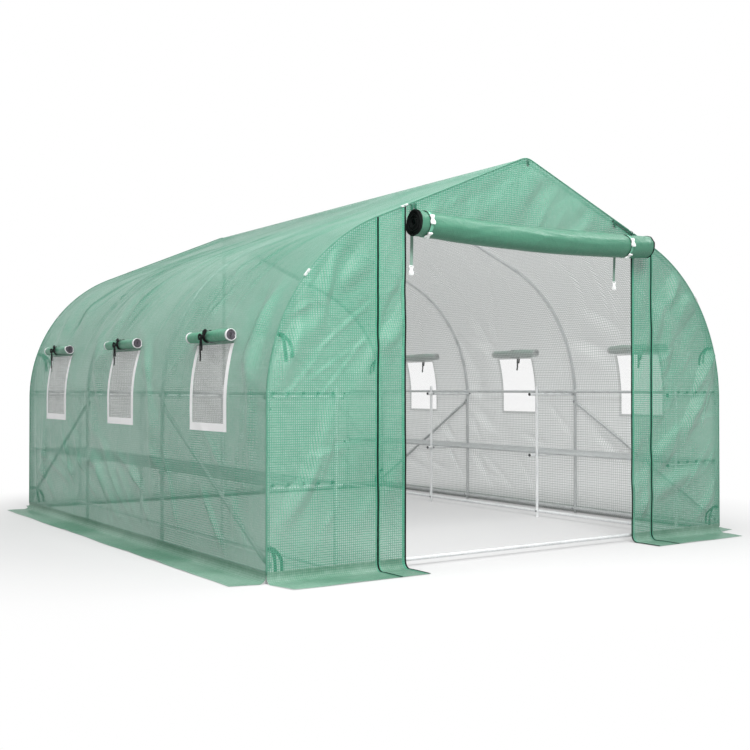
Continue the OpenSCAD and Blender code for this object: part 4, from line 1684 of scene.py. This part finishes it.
@dataclass
class WindowDressing:
    """Screens, borders, rolled flaps and ties of the side windows."""

    cover: Cover
    lap: float = 0.018
    side_border: float = 0.031
    flap_turns: float = 4.6
    flap_pitch: float = 0.0054
    edge_width: float = 0.013
    edge_depth: float = 0.0028
    core_depth: float = 0.0034
    tie_shift: float = 0.014
    tie_reach: Span = (math.radians(36), math.radians(324))
    tie_stand: float = 0.0045
    tie_spread: float = 2.2
    knot_stand: float = 0.004
    screen_stand: float = -0.002
    border_stand: float = 0.0016
    edge_stand: float = 0.0012
    edge_turns: float = 1.04
    core_stand: float = 0.0006
    core_inset: float = 0.001
    bow: Bow = Bow(0.014)

    def patch(self, side: Side, bay: float, marks: tuple[list[float], list[float]], stand: float,
              hole: bool) -> Patch:
        """Make a patch of sheet that follows the cover at a window.

        Args:
            side: side of the tunnel.
            bay: middle of the bay.
            marks: places along the section from the foot, and places along the tunnel from the bay's middle.
            stand: distance outside the cover.
            hole: whether the window opening is left out.

        Returns:
            Points, faces and cloth coordinates.
        """
        windows = self.cover.windows
        near, aside = (stations(mark, windows.step) for mark in marks)
        place = near if side is Side.LEFT else self.cover.section.total - near
        points = self.cover.surface(place[:, None], bay + aside[None, :], stand)
        mid_near, mid_aside = middles(near), middles(aside)
        open_cell = (mid_near > windows.sill)[:, None] & (np.abs(mid_aside) < windows.half_width)
        faces = grid_faces(len(near), len(aside), keep=~open_cell if hole else None)
        if side is Side.RIGHT:
            faces = flipped(faces)
        uv = joined(near[:, None], aside[None, :])
        return points, faces, uv

    def flap(self, side: Side, bay_index: int) -> Roll:
        """Find the rolled flap of one window.

        Args:
            side: side of the tunnel.
            bay_index: number of the bay from the front.

        Returns:
            The rolled flap.
        """
        low, high = (np.array(corner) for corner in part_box(f"flap_rolls_{side.name.lower()}"))
        radius = (high[2] - low[2]) / 2
        edge = low[0] if side is Side.LEFT else high[0]
        outside = np.array([edge - side.value * radius, (low[2] + high[2]) / 2])
        inward = unit(self.cover.section.shoulder * np.array([-side.value, 1.0]) - outside)
        bays = self.cover.form.bay_ys
        y = bays[bay_index] + (low[1] + high[1]) / 2
        inner = np.array([inward[0], 0.0, inward[1]])
        rise = np.array([inner[2], 0.0, -inner[0]]) * side.value
        return Roll(middle=np.array([outside[0], y, outside[1]]), axis=Y_AXIS, contact=inner,
                    rise=rise, length=(high[1] - low[1]) - (bays[-1] - bays[0]), radius=radius,
                    turns=self.flap_turns, pitch=self.flap_pitch, pinches=(self.tie_shift,), dent=0.04,
                    crease_count=6, around=36, seed=20 + bay_index + len(bays) * (side is Side.RIGHT))

    def tie(self, stack: MeshStack, roll: Roll, side: Side) -> float:
        """Tie one flap.

        Args:
            stack: gathers the ribbon.
            roll: the rolled flap.
            side: side of the tunnel.

        Returns:
            Length of ribbon in the tie.
        """
        first, last = self.tie_reach
        stack.add(*roll.band(self.tie_shift, self.tie_spread * self.bow.width, self.tie_stand, first, last))
        out = side.value * X_AXIS
        knot = roll.middle + roll.axis * self.tie_shift + out * (roll.radius + self.knot_stand)
        knot = knot - self.knot_stand * Z_AXIS
        return (last - first) * roll.radius + self.bow.tie(stack, knot, roll.axis, out)

    def build(self) -> None:
        """Make the window pieces of both sides."""
        windows, bays = self.cover.windows, self.cover.form.bay_ys
        half, border, lap = windows.half_width, windows.border, self.lap
        sill, head = windows.sill, windows.head
        inner = ([sill - lap, sill, head, head + lap], [-half - lap, half + lap])
        wide = half + self.side_border
        outer = ([sill - border, sill, head], [-wide, -half, half, wide])
        for side in Side:
            word = side.name.lower()
            screens, borders, flaps, edges, cores, ties = (MeshStack() for _ in range(6))
            ribbon = 0.0
            for index, bay in enumerate(bays):
                screens.add(*self.patch(side, bay, inner, self.screen_stand, hole=False))
                borders.add(*self.patch(side, bay, outer, self.border_stand, hole=True))
                roll = self.flap(side, index)
                reach = roll.length / 2
                flaps.add(*roll.layers(-reach, reach, 0.0, roll.step))
                for low, high in roll.ends(self.edge_width):
                    edges.add(*roll.layers(low, high, self.edge_stand, self.edge_width / 3,
                                           last=self.edge_turns))
                    low, high = low + self.core_inset, high - self.core_inset
                    cores.add(*roll.layers(low, high, self.core_stand, self.edge_width / 2, first=1.0))
                ribbon += self.tie(ties, roll, side)
            screen = screens.piece(f"screens_{word}_mesh", SCREEN_MESH, Slot.SCREEN, f"screens_{word}")
            frame_piece = borders.piece(f"borders_{word}_tape", BORDER_TAPE, Slot.BORDER, f"borders_{word}")
            rolled = flaps.piece(f"flaps_{word}_sheet", FLAP_SHEET, Slot.FLAP, f"flap_rolls_{word}")
            tapes = edges.piece(f"flaps_{word}_edge_tape", EDGE_TAPE, Slot.BORDER, depth=self.edge_depth)
            # the inner turns' tape edges carry painted shade
            inner_turns = cores.piece(f"flaps_{word}_inner_turns", INNER_TURN_SHADE_TAPE, Slot.FLAP,
                                      depth=self.core_depth)
            bows = ties.piece(f"flaps_{word}_ties", TIE_RIBBON, Slot.ZIP)


@dataclass
class Zips:
    """Zips of the front, from the roof edge down and out over the skirts."""

    section: Section
    panels: dict[Side, EndPanel]
    skirts: dict[Side, Skirt]
    tape_width: float = 0.0092
    band_width: float = 0.024
    stand: float = 0.0012
    pitch: float = 0.0045
    tooth: Triple = (0.0030, 0.0024, 0.0018)
    tooth_aside: float = 0.0012
    tooth_stand: float = 0.0010
    tooth_taper: float = 0.7
    tape_stand: float = 0.0008
    top_gap: float = 0.004
    rows: int = 110
    inner_overlap: float = 0.010

    def line(self, side: Side, place: float) -> tuple[Array, Array]:
        """Draw one zip's middle line.

        Args:
            side: side of the tunnel.
            place: distance from the middle of the tunnel.

        Returns:
            Points and outward directions.
        """
        x = side.value * place
        form, skirt = self.section.form, self.skirts[side]
        top = float(self.section.top(np.array([x]))[0]) - self.top_gap
        z = np.linspace(top, form.wall_foot, self.rows)
        upright = self.panels[side].surface(np.full_like(z, x), z, self.stand)
        out, up, _ = skirt.section()
        a = np.full_like(out, abs(x - skirt.start[0]))
        rise = up + skirt.lift(a, out)
        slope = np.gradient(rise, out + 1e-6 * np.arange(len(out)))
        lean = unit(joined(-slope, np.ones_like(slope)))
        lean[0] = (-1.0, 0.0)
        flat = joined(np.full_like(out, x), -form.half_length - out, rise)
        normal = joined(np.zeros_like(out), -np.abs(lean[:, 0]), lean[:, 1])
        flat = flat + normal * self.stand
        front = np.tile([0.0, -1.0, 0.0], (len(upright), 1))
        return np.concatenate([upright, flat[1:]]), np.concatenate([front, normal[1:]])

    def teeth(self, stack: MeshStack, path: Array, normal: Array) -> None:
        """Set teeth along a zip.

        Args:
            stack: gathers the teeth.
            path: points along the zip.
            normal: outward directions there.
        """
        run = run_length(path)
        spots = np.arange(self.pitch, run[-1], self.pitch)
        middle = joined(*[np.interp(spots, run, path[:, k]) for k in range(3)])
        out = unit(joined(*[np.interp(spots, run, normal[:, k]) for k in range(3)]))
        heading = unit(np.gradient(middle, axis=0))
        aside = np.cross(heading, out)
        hand = np.where(np.arange(len(spots)) % 2, 1.0, -1.0)[:, None]
        middle = middle + aside * hand * self.tooth_aside
        wide, deep, tall = (size / 2 for size in self.tooth)
        corners = [(u, v, w) for w in (0, 2) for u, v in ((-1, -1), (1, -1), (1, 1), (-1, 1))]
        shrink = [1.0 if w == 0 else self.tooth_taper for _, _, w in corners]
        rises = [self.tooth_stand + w * tall for _, _, w in corners]
        points = np.stack([middle + aside * u * wide * k + heading * v * deep * k + out * rise
                           for (u, v, _), k, rise in zip(corners, shrink, rises)], axis=1)
        cube = [[4, 5, 6, 7], [0, 1, 5, 4], [1, 2, 6, 5], [2, 3, 7, 6], [3, 0, 4, 7]]
        faces = [[8 * n + corner for corner in face] for n in range(len(spots)) for face in cube]
        stack.add(points, faces)

    def build(self) -> None:
        """Make the sewn bands, the tapes and the teeth of all zips."""
        bands, tapes, chains = MeshStack(), MeshStack(), MeshStack()
        for side in Side:
            for place in zip_places():
                path, normal = self.line(side, place)
                across = unit(np.cross(unit(np.gradient(path, axis=0)), normal))
                shift = side.value * 0.5 * (self.band_width - self.inner_overlap) * (place == zip_places()[0])
                for stack, width, stand, aside in ((bands, self.band_width, 0.0, shift),
                                                   (tapes, self.tape_width, self.tape_stand, 0.0)):
                    raised = path + normal * stand + aside * X_AXIS
                    points, faces, uv = strip(raised, across, width, 5)
                    stack.add(points, flipped(faces), uv)
                self.teeth(chains, path, normal)
        black = tapes.piece("zip_tapes", ZIP_TAPE, Slot.ZIP, "front_zips", "skirt_zips")
        teeth = chains.piece("zip_teeth", ZIP_CHAIN, Slot.ZIP, smooth=False)
        green = bands.piece("zip_bands", SEWN_SHEET, Slot.FRONT)


@dataclass
class HangingStraps:
    """Straps that hang inside the gable, each with a buckle at its lower end."""

    door: Door
    width: float = 0.018
    tuck: float = 0.02
    stand: float = 0.0025
    bulge: float = 0.002
    sway: float = 0.003

    def build(self) -> None:
        """Make the straps."""
        low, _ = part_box("door_straps")
        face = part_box("gable")[1].y
        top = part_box("gable")[0].z + self.tuck
        stack = MeshStack()
        z = np.linspace(top, low.z, 24)
        for index, x in enumerate(self.door.hang_places):
            sway = self.sway * np.sin(np.linspace(0, 3, len(z)) + index)
            y = face + self.stand + self.bulge * ramp(top - z, 0.02, 0.2)
            stack.add(*strip(joined(x + sway, y, z), X_AXIS, self.width, 5))
        piece = stack.piece("hanging_straps", STRAP_WEBBING, Slot.STRAP)


@dataclass
class CornerTies:
    """Dark ribbons that tie the cover to the end hoops, inside the corners and at the front edge."""

    section: Section
    width: float = 0.020
    heights: Span = (1.08, 0.15)
    tail: float = 0.112
    tail_spreads: Span = (0.030, 0.062)
    tail_width: float = 0.8
    ring_gap: float = 0.0012
    face_gap: float = 0.006
    edge_width: float = 0.010
    knot_width: float = 0.7
    edge_run: Span = (0.615, 0.783)
    knot_x: float = -0.730
    length: float = 0.0

    def lay(self, stack: MeshStack, path: Array, across: Array, width: float) -> None:
        """Lay one ribbon along a path and count its length."""
        stack.add(*strip(path, across, width))
        self.length += float(run_length(path)[-1]) * width / self.width

    def corner(self, stack: MeshStack, side: Side, y: float, z: float, rng: np.random.Generator) -> None:
        """Tie one corner.

        Args:
            stack: gathers the ribbons.
            side: side of the tunnel.
            y: place of the hoop.
            z: height of the tie.
            rng: source of the tails' lengths.
        """
        x, radius = self.section.form.hoop_x(z), self.section.form.tube_radius + self.ring_gap
        turn = np.linspace(0, FULL_TURN, 29)
        ring = joined(side.value * (x + radius * np.cos(turn)), y + radius * np.sin(turn), 0 * turn + z)
        self.lay(stack, ring, Z_AXIS, self.width)
        inward = -np.sign(y)
        for spread in self.tail_spreads:
            reach = self.tail * rng.uniform(0.8, 1.1)
            knots = np.array([(0.010, 0.0, 0.004), (0.4 * spread + 0.012, 0.004, -0.010),
                              (spread + 0.010, 0.010, -0.45 * reach), (spread + 0.016, 0.012, -reach)])
            line = joined(side.value * (x - knots[:, 0]), y + inward * knots[:, 1], z + knots[:, 2])
            path = smooth_path(line, 18)
            across = unit(np.cross(unit(np.gradient(path, axis=0)), np.array([0.0, 1.0, 0.25])))
            self.lay(stack, path, across, self.tail_width * self.width)

    def front_edge(self, stack: MeshStack) -> None:
        """Lay the ribbons along the front edge of the roof.

        Args:
            stack: gathers the ribbons.
        """
        face = -self.section.form.half_length - self.face_gap
        x = np.linspace(*self.edge_run, 16)
        top = self.section.top(x)
        path = joined(x, 0 * x + face - 0.002 * np.sin(np.linspace(0, math.pi, 16)), top - 0.012)
        slope = unit(np.gradient(path, axis=0))
        self.lay(stack, path, np.cross(slope, -Y_AXIS), self.edge_width)
        knots = np.array([(0, 0.010, 0.012), (0.004, -0.004, 0.004), (-0.006, -0.007, -0.014),
                          (0.003, -0.005, -0.032)])
        places = (self.knot_x, self.knot_x + 0.020, 0.004, self.edge_run[0] + 0.01)
        for place, scale in zip(places, (1.0, 0.7, 0.6, 1.0)):
            height = float(self.section.top(np.array([place]))[0]) - 0.016
            path = smooth_path(np.array([place, face, height]) + scale * knots, 14)
            self.lay(stack, path, X_AXIS, self.knot_width * self.width)

    def build(self) -> None:
        """Make all ribbons."""
        form = self.section.form
        stack, rng = MeshStack(), np.random.default_rng(9)
        for side in Side:
            for y in (form.hoop_ys[0], form.hoop_ys[-1]):
                for z in self.heights:
                    self.corner(stack, side, y, z, rng)
        self.front_edge(stack)
        piece = stack.piece("corner_ribbons", CORNER_RIBBON, None)


@dataclass
class SewnSeams:
    """Corded seams where the cover meets the end walls, and the joining seam of the rear wall."""

    section: Section
    rear: EndPanel
    radius: float = 0.0032
    step: float = 0.02
    rear_width: float = 0.025
    rear_stand: float = 0.0012
    top_gap: float = 0.01

    def build(self) -> None:
        """Make the seams."""
        stack, marks = MeshStack(), self.section.marks
        s = self.section.spread([*marks[:-1], self.section.half], self.step)
        point, _ = self.section.place(s)
        for facing in Facing:
            y = np.full_like(s, facing.value * self.section.form.half_length)
            stack.add(*cord(joined(point[:, 0], y, point[:, 1]), self.radius))
        stack.piece("arch_seams", SEAM_SHEET, Slot.WALL)
        top = float(self.section.top(np.array([0.0]))[0]) - self.top_gap
        z = stations([self.rear.foot, top], self.step)
        path = self.rear.surface(np.zeros_like(z), z, self.rear_stand)
        sewn = MeshStack().add(*strip(path, X_AXIS, self.rear_width, 5))
        seam = sewn.piece("rear_seam", SEWN_SHEET, Slot.FRONT)


@dataclass
class Fasteners:
    """Hexagon bolts on washers where the tubes are joined."""

    form: TunnelForm
    washer: Profile = ((0.0075, -0.0012), (0.0075, 0.0010), (0.0070, 0.0014), (0.0045, 0.0014))
    head: Profile = ((0.0058, 0.0010), (0.0058, 0.0046), (0.0048, 0.0054), (0.0015, 0.0056))
    gap: float = 0.0002
    lug: float = 0.0032
    lug_heights: Span = (0.080, 0.755)

    @cached_property
    def parts(self) -> list[Solid]:
        """Washer and head of one bolt."""
        return [turned_part(self.washer, 18), turned_part(self.head, 6)]

    def bolt(self, stack: MeshStack, place: Triple, out: Array) -> None:
        """Set one bolt on a tube."""
        stack.fasten(self.parts, np.array(place), np.cross(out, np.cross(out, Z_AXIS)), out)

    def build(self) -> None:
        """Set all bolts."""
        form, stack = self.form, MeshStack()
        radius, hoops = form.tube_radius, form.hoop_ys
        low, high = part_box("posts_right")
        post_x, rail_z = (low.x + high.x) / 2, sum(corner.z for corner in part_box("wall_rails")) / 2
        wall_face, post_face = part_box("wall_rails")[1].x - 2 * radius, low.x
        cross_zs = [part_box("cross_tubes_left")[k].z + radius * (1 - 2 * k) for k in (0, 1)]
        for side in Side:
            aisle = -side.value * X_AXIS
            for index, y in enumerate(hoops):
                inward = 1.0 if y < 0 else -1.0
                cross = y + inward * 3 * radius
                for z in cross_zs:
                    for x in (form.hoop_x(z), post_x):
                        self.bolt(stack, (side.value * x, cross + inward * self.gap, z), inward * Y_AXIS)
                self.bolt(stack, (side.value * wall_face, y, rail_z), aisle)
                self.bolt(stack, (side.value * post_face, y, rail_z), aisle)
                outer = index in (0, len(hoops) - 1)
                leg_face = form.leg_x - radius
                self.bolt(stack, (side.value * (leg_face - self.lug), y, self.lug_heights[not outer]), aisle)
                if outer:
                    self.bolt(stack, (side.value * leg_face, y, self.lug_heights[1]), aisle)
        stack.piece("frame_bolts", BOLT_STEEL, Slot.TUBE, smooth=False)


@dataclass
class Clips:
    """Moulded clips that hold the cover's edge on the end hoops."""

    section: Section
    angle: float = math.radians(38.5)
    share: float = 0.18
    length: float = 0.042
    reach: float = 0.011
    lip: float = 0.0075
    depth: float = 0.0028
    front_gap: float = 0.0046
    top_gap: float = 0.0032
    lip_rise: float = 0.004

    def bar(self, width: float) -> list[Solid]:
        """Make one flat side of a clip.

        Args:
            width: width of the side.

        Returns:
            A plate with cut corners and a slot, and two ribs on it.
        """
        half, cut = self.length / 2, 0.003
        side = width / 2
        edge = [(half - cut, -side), (half, cut - side), (half, side - cut), (half - cut, side)]
        outline = np.array([*edge, *[(-x, y) for x, y in reversed(edge)]])
        slot = block_outline(0.0, 0.0, 0.2 * self.length, 0.0016)
        ribs = [[block_outline(end * 0.36 * self.length, 0.0, 0.0014, 0.36 * width)] for end in (-1, 1)]
        return [plate([outline, slot], self.depth, 0.0007),
                *[plate(rib, 0.0022, 0.0004, self.depth / 2) for rib in ribs]]

    def build(self) -> None:
        """Make all clips."""
        section, stack = self.section, MeshStack()
        marks, half_length = section.marks, section.form.half_length
        spots = [marks[1] + section.form.shoulder_radius * self.angle,
                 marks[2] + self.share * (marks[3] - marks[2])]
        flat, lip = self.bar(self.reach), self.bar(self.lip)
        point, normal = section.place(np.array([*spots, *[section.total - spot for spot in spots]]))
        for (x, z), (nx, nz) in zip(point, normal):
            out = np.array([nx, 0.0, nz])
            for facing in Facing:
                front = np.array([0.0, facing.value, 0.0])
                edge = np.array([x, facing.value * half_length, z])
                over = edge + out * self.top_gap + front * (self.front_gap - self.reach / 2)
                stack.fasten(flat, over, front, out)
                before = edge + front * self.front_gap + out * (self.lip_rise - self.lip / 2)
                stack.fasten(lip, before, out, front)
        stack.piece("edge_clips", CLAMP_PLASTIC, Slot.CLAMP, "clamps", smooth=False)


@dataclass
class Studio:
    """Floor, light and camera."""

    location: Triple = (-3.701, -5.858, 0.845)
    yaw: float = math.radians(33.95)
    pitch: float = math.radians(0.71)
    lens: float = 51.53
    sensor: float = 36.0
    floor_half: float = 60.0
    floor_colour: Colour = (0.54, 0.54, 0.54)
    floor_glow: float = 0.30
    glow_reach: Span = (1.9, 3.4)
    world_level: float = 0.32
    key_level: float = 178.0
    key_size: float = 2.2
    key_spread: float = math.radians(115)
    side_level: float = 1.60
    top_level: float = 0.25
    rim_level: float = 60.0

    def seen(self, graph: Graph) -> Socket:
        """Tell rays that show the background from those that light the object.

        Args:
            graph: graph of the material or the world.

        Returns:
            1 for camera, mirror and see-through rays, 0 for others.
        """
        path = graph.node("ShaderNodeLightPath").outputs
        through = graph.math("MAXIMUM", path["Is Glossy Ray"], path["Is Transmission Ray"])
        return graph.math("MAXIMUM", path["Is Camera Ray"], through)

    def floor(self) -> None:
        """Lay a plain pale floor that shows white and keeps a soft shadow."""
        made, graph, shader = new_material("studio_floor")
        graph.fill(shader, {"Base Color": self.floor_colour, "Roughness": 1.0, "Specular IOR Level": 0.0})
        away = graph.node("ShaderNodeVectorMath", {0: graph.place}, operation="LENGTH").outputs["Value"]
        glow_share = graph.grade(away, *self.glow_reach, (self.floor_glow, 1.0))
        share = graph.math("MULTIPLY", self.seen(graph), glow_share)
        glow = graph.node("ShaderNodeEmission").outputs[0]
        mix = graph.node("ShaderNodeMixShader", {0: share, 1: shader.outputs[0], 2: glow})
        output = next(node for node in made.node_tree.nodes if node.type == "OUTPUT_MATERIAL")
        graph.fill(output, {"Surface": mix.outputs[0]})
        half = self.floor_half
        mesh = bpy.data.meshes.new("studio_floor")
        corners = [(x, y, 0.0) for x, y in block_outline(0.0, 0.0, half, half)]
        mesh.from_pydata(corners, [], [(0, 1, 2, 3)])
        mesh.materials.append(made)
        floor = bpy.data.objects.new("studio_floor", mesh)
        bpy.context.scene.collection.objects.link(floor)

    def world(self) -> None:
        """Light the scene evenly and show a white background."""
        world = bpy.data.worlds.new("studio")
        world.use_nodes = True
        world.node_tree.nodes.clear()
        graph = Graph(world.node_tree)
        white = (1.0, 1.0, 1.0)
        ambient, plain = (graph.node("ShaderNodeBackground", {"Color": white, "Strength": level}).outputs[0]
                          for level in (self.world_level, 1.0))
        mix = graph.node("ShaderNodeMixShader", {0: self.seen(graph), 1: ambient, 2: plain})
        graph.node("ShaderNodeOutputWorld", {"Surface": mix.outputs[0]})
        bpy.context.scene.world = world

    def lamp(self, light: bpy.types.Light, level: float, place: Triple,
             towards: Triple) -> None:
        """Hang a soft light.

        Args:
            light: the light's data.
            level: strength.
            place: where it hangs.
            towards: direction in which the light travels.
        """
        light.energy = level
        lamp = bpy.data.objects.new(light.name, light)
        lamp.location = place
        lamp.visible_camera = False
        lamp.rotation_mode = "QUATERNION"
        lamp.rotation_quaternion = Vector(towards).to_track_quat("-Z", "Y")
        bpy.context.scene.collection.objects.link(lamp)

    def lights(self) -> None:
        """Hang broad lights at the front left and high on the right, and suns from the left and above."""
        for name, level, place, towards in (("key", self.key_level, (-1.5, -5.5, 4.6), (0.6, 3.8, -3.7)),
                                            ("rim", self.rim_level, (4.2, -2.4, 6.2), (-4.2, 0.6, -4.6))):
            panel = bpy.data.lights.new(name, "AREA")
            panel.size = self.key_size
            panel.spread = self.key_spread
            self.lamp(panel, level, place, towards)
        for name, level, towards, spread in (("side", self.side_level, (0.46, -0.10, -0.90), 0.6),
                                             ("top", self.top_level, (-0.25, 0.15, -1.0), 1.4)):
            sun = bpy.data.lights.new(name, "SUN")
            sun.angle = spread
            self.lamp(sun, level, (0.0, 0.0, 4.0), towards)

    def camera(self) -> None:
        """Place the camera at the photograph's viewing angle."""
        data = bpy.data.cameras.new("camera")
        data.lens, data.sensor_width = self.lens, self.sensor
        data.clip_end = 200.0
        eye = bpy.data.objects.new("camera", data)
        eye.location = self.location
        flat = math.cos(self.pitch)
        forward = Vector((math.sin(self.yaw) * flat, math.cos(self.yaw) * flat, math.sin(self.pitch)))
        eye.rotation_mode = "QUATERNION"
        eye.rotation_quaternion = forward.to_track_quat("-Z", "Y")
        bpy.context.scene.collection.objects.link(eye)
        bpy.context.scene.camera = eye

    def build(self) -> None:
        """Set up the studio."""
        bpy.context.scene.view_settings.view_transform = "Standard"
        self.floor()
        self.world()
        self.lights()
        self.camera()


def dress_frame(nodes: dict[str, Piece]) -> None:
    """Give the frame's own pieces their finishes.

    Args:
        nodes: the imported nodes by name.
    """
    hoops = ["legs", "shoulders", "rafters", "ridge", "wall_rails", "end_rails", "braces"]
    racks = ["rack_rails", "posts", "cross_tubes"]
    finishes = ((Slot.TUBE, HOOP_STEEL, hoops), (Slot.TUBE, RACK_STEEL, racks),
                (Slot.TUBE, SLAT_STEEL, ["shelf"]), (Slot.CAP, CAP_PLASTIC, ["slat_caps", "cross_caps"]))
    for slot, finish, starts in finishes:
        for name, node in nodes.items():
            if name.startswith(tuple(starts)):
                node.data.materials.clear()
                node.data.materials.append(finish.material)
                LOG.info("%s: %s", name, finish.name)


def front_panels(section: Section) -> dict[str, EndPanel]:
    """List the sheets of both end walls.

    Args:
        section: outside line of the cover.

    Returns:
        The panels by node name.
    """
    form = section.form
    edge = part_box("front_right")[0].x
    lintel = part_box("gable")[0].z
    wide, foot = form.half_width, form.wall_foot
    sizes = {
        "front_left": ("front_left_sheet", Facing.FRONT, -wide, -edge, foot, 61),
        "front_right": ("front_right_sheet", Facing.FRONT, edge, wide, foot, 62),
        "gable": ("gable_sheet", Facing.FRONT, -edge, edge, lintel, 63, 0.006),
        "rear_wall": ("rear_sheet", Facing.REAR, -wide, wide, foot, 64),
    }
    return {node: EndPanel(name, node, section, *rest) for node, (name, *rest) in sizes.items()}


def ground_skirts(form: TunnelForm) -> dict[str, Skirt]:
    """List the skirts round the tunnel.

    Args:
        form: sizes of the tunnel.

    Returns:
        The skirts by node name.
    """
    wide, long = form.half_width, form.half_length
    side_reach = -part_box("skirt_left")[0].x - wide
    end_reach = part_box("skirt_rear")[1].y - long
    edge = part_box("front_right")[0].x
    cut = 0.030
    sizes = {
        "skirt_left": ((-wide, -long), (-wide, long), (-1, 0), side_reach, (cut, cut), 71),
        "skirt_right": ((wide, -long), (wide, long), (1, 0), side_reach, (cut, cut), 72),
        "skirt_rear": ((-wide, long), (wide, long), (0, 1), end_reach, (cut, cut), 73),
        "skirt_front_left": ((-wide, -long), (-edge, -long), (0, -1), end_reach, (cut, 0.0), 74),
        "skirt_front_right": ((edge, -long), (wide, -long), (0, -1), end_reach, (0.0, cut), 75),
    }
    return {node: Skirt(f"{node}_sheet", node, *rest) for node, rest in sizes.items()}


def main() -> None:
    """Build the studio, then the cover and its trim from the frame outward."""
    logging.basicConfig(level=logging.INFO, format="%(message)s")
    Studio().build()
    dress_frame(frame["nodes"])
    form = TunnelForm.from_frame()
    section = Section(form)
    cover = Cover(form, section, Windows(form, section))
    cover.build()
    panels = front_panels(section)
    for panel in panels.values():
        panel.build()
    skirts = ground_skirts(form)
    for skirt in skirts.values():
        skirt.build()
    SewnSeams(section, panels["rear_wall"]).build()
    door = Door()
    door.build()
    HangingStraps(door).build()
    WindowDressing(cover).build()
    Zips(section, {Side.LEFT: panels["front_left"], Side.RIGHT: panels["front_right"]},
         {Side.LEFT: skirts["skirt_front_left"], Side.RIGHT: skirts["skirt_front_right"]}).build()
    CornerTies(section).build()
    Clips(section).build()
    Fasteners(form).build()


if __name__ == "__main__":
    main()
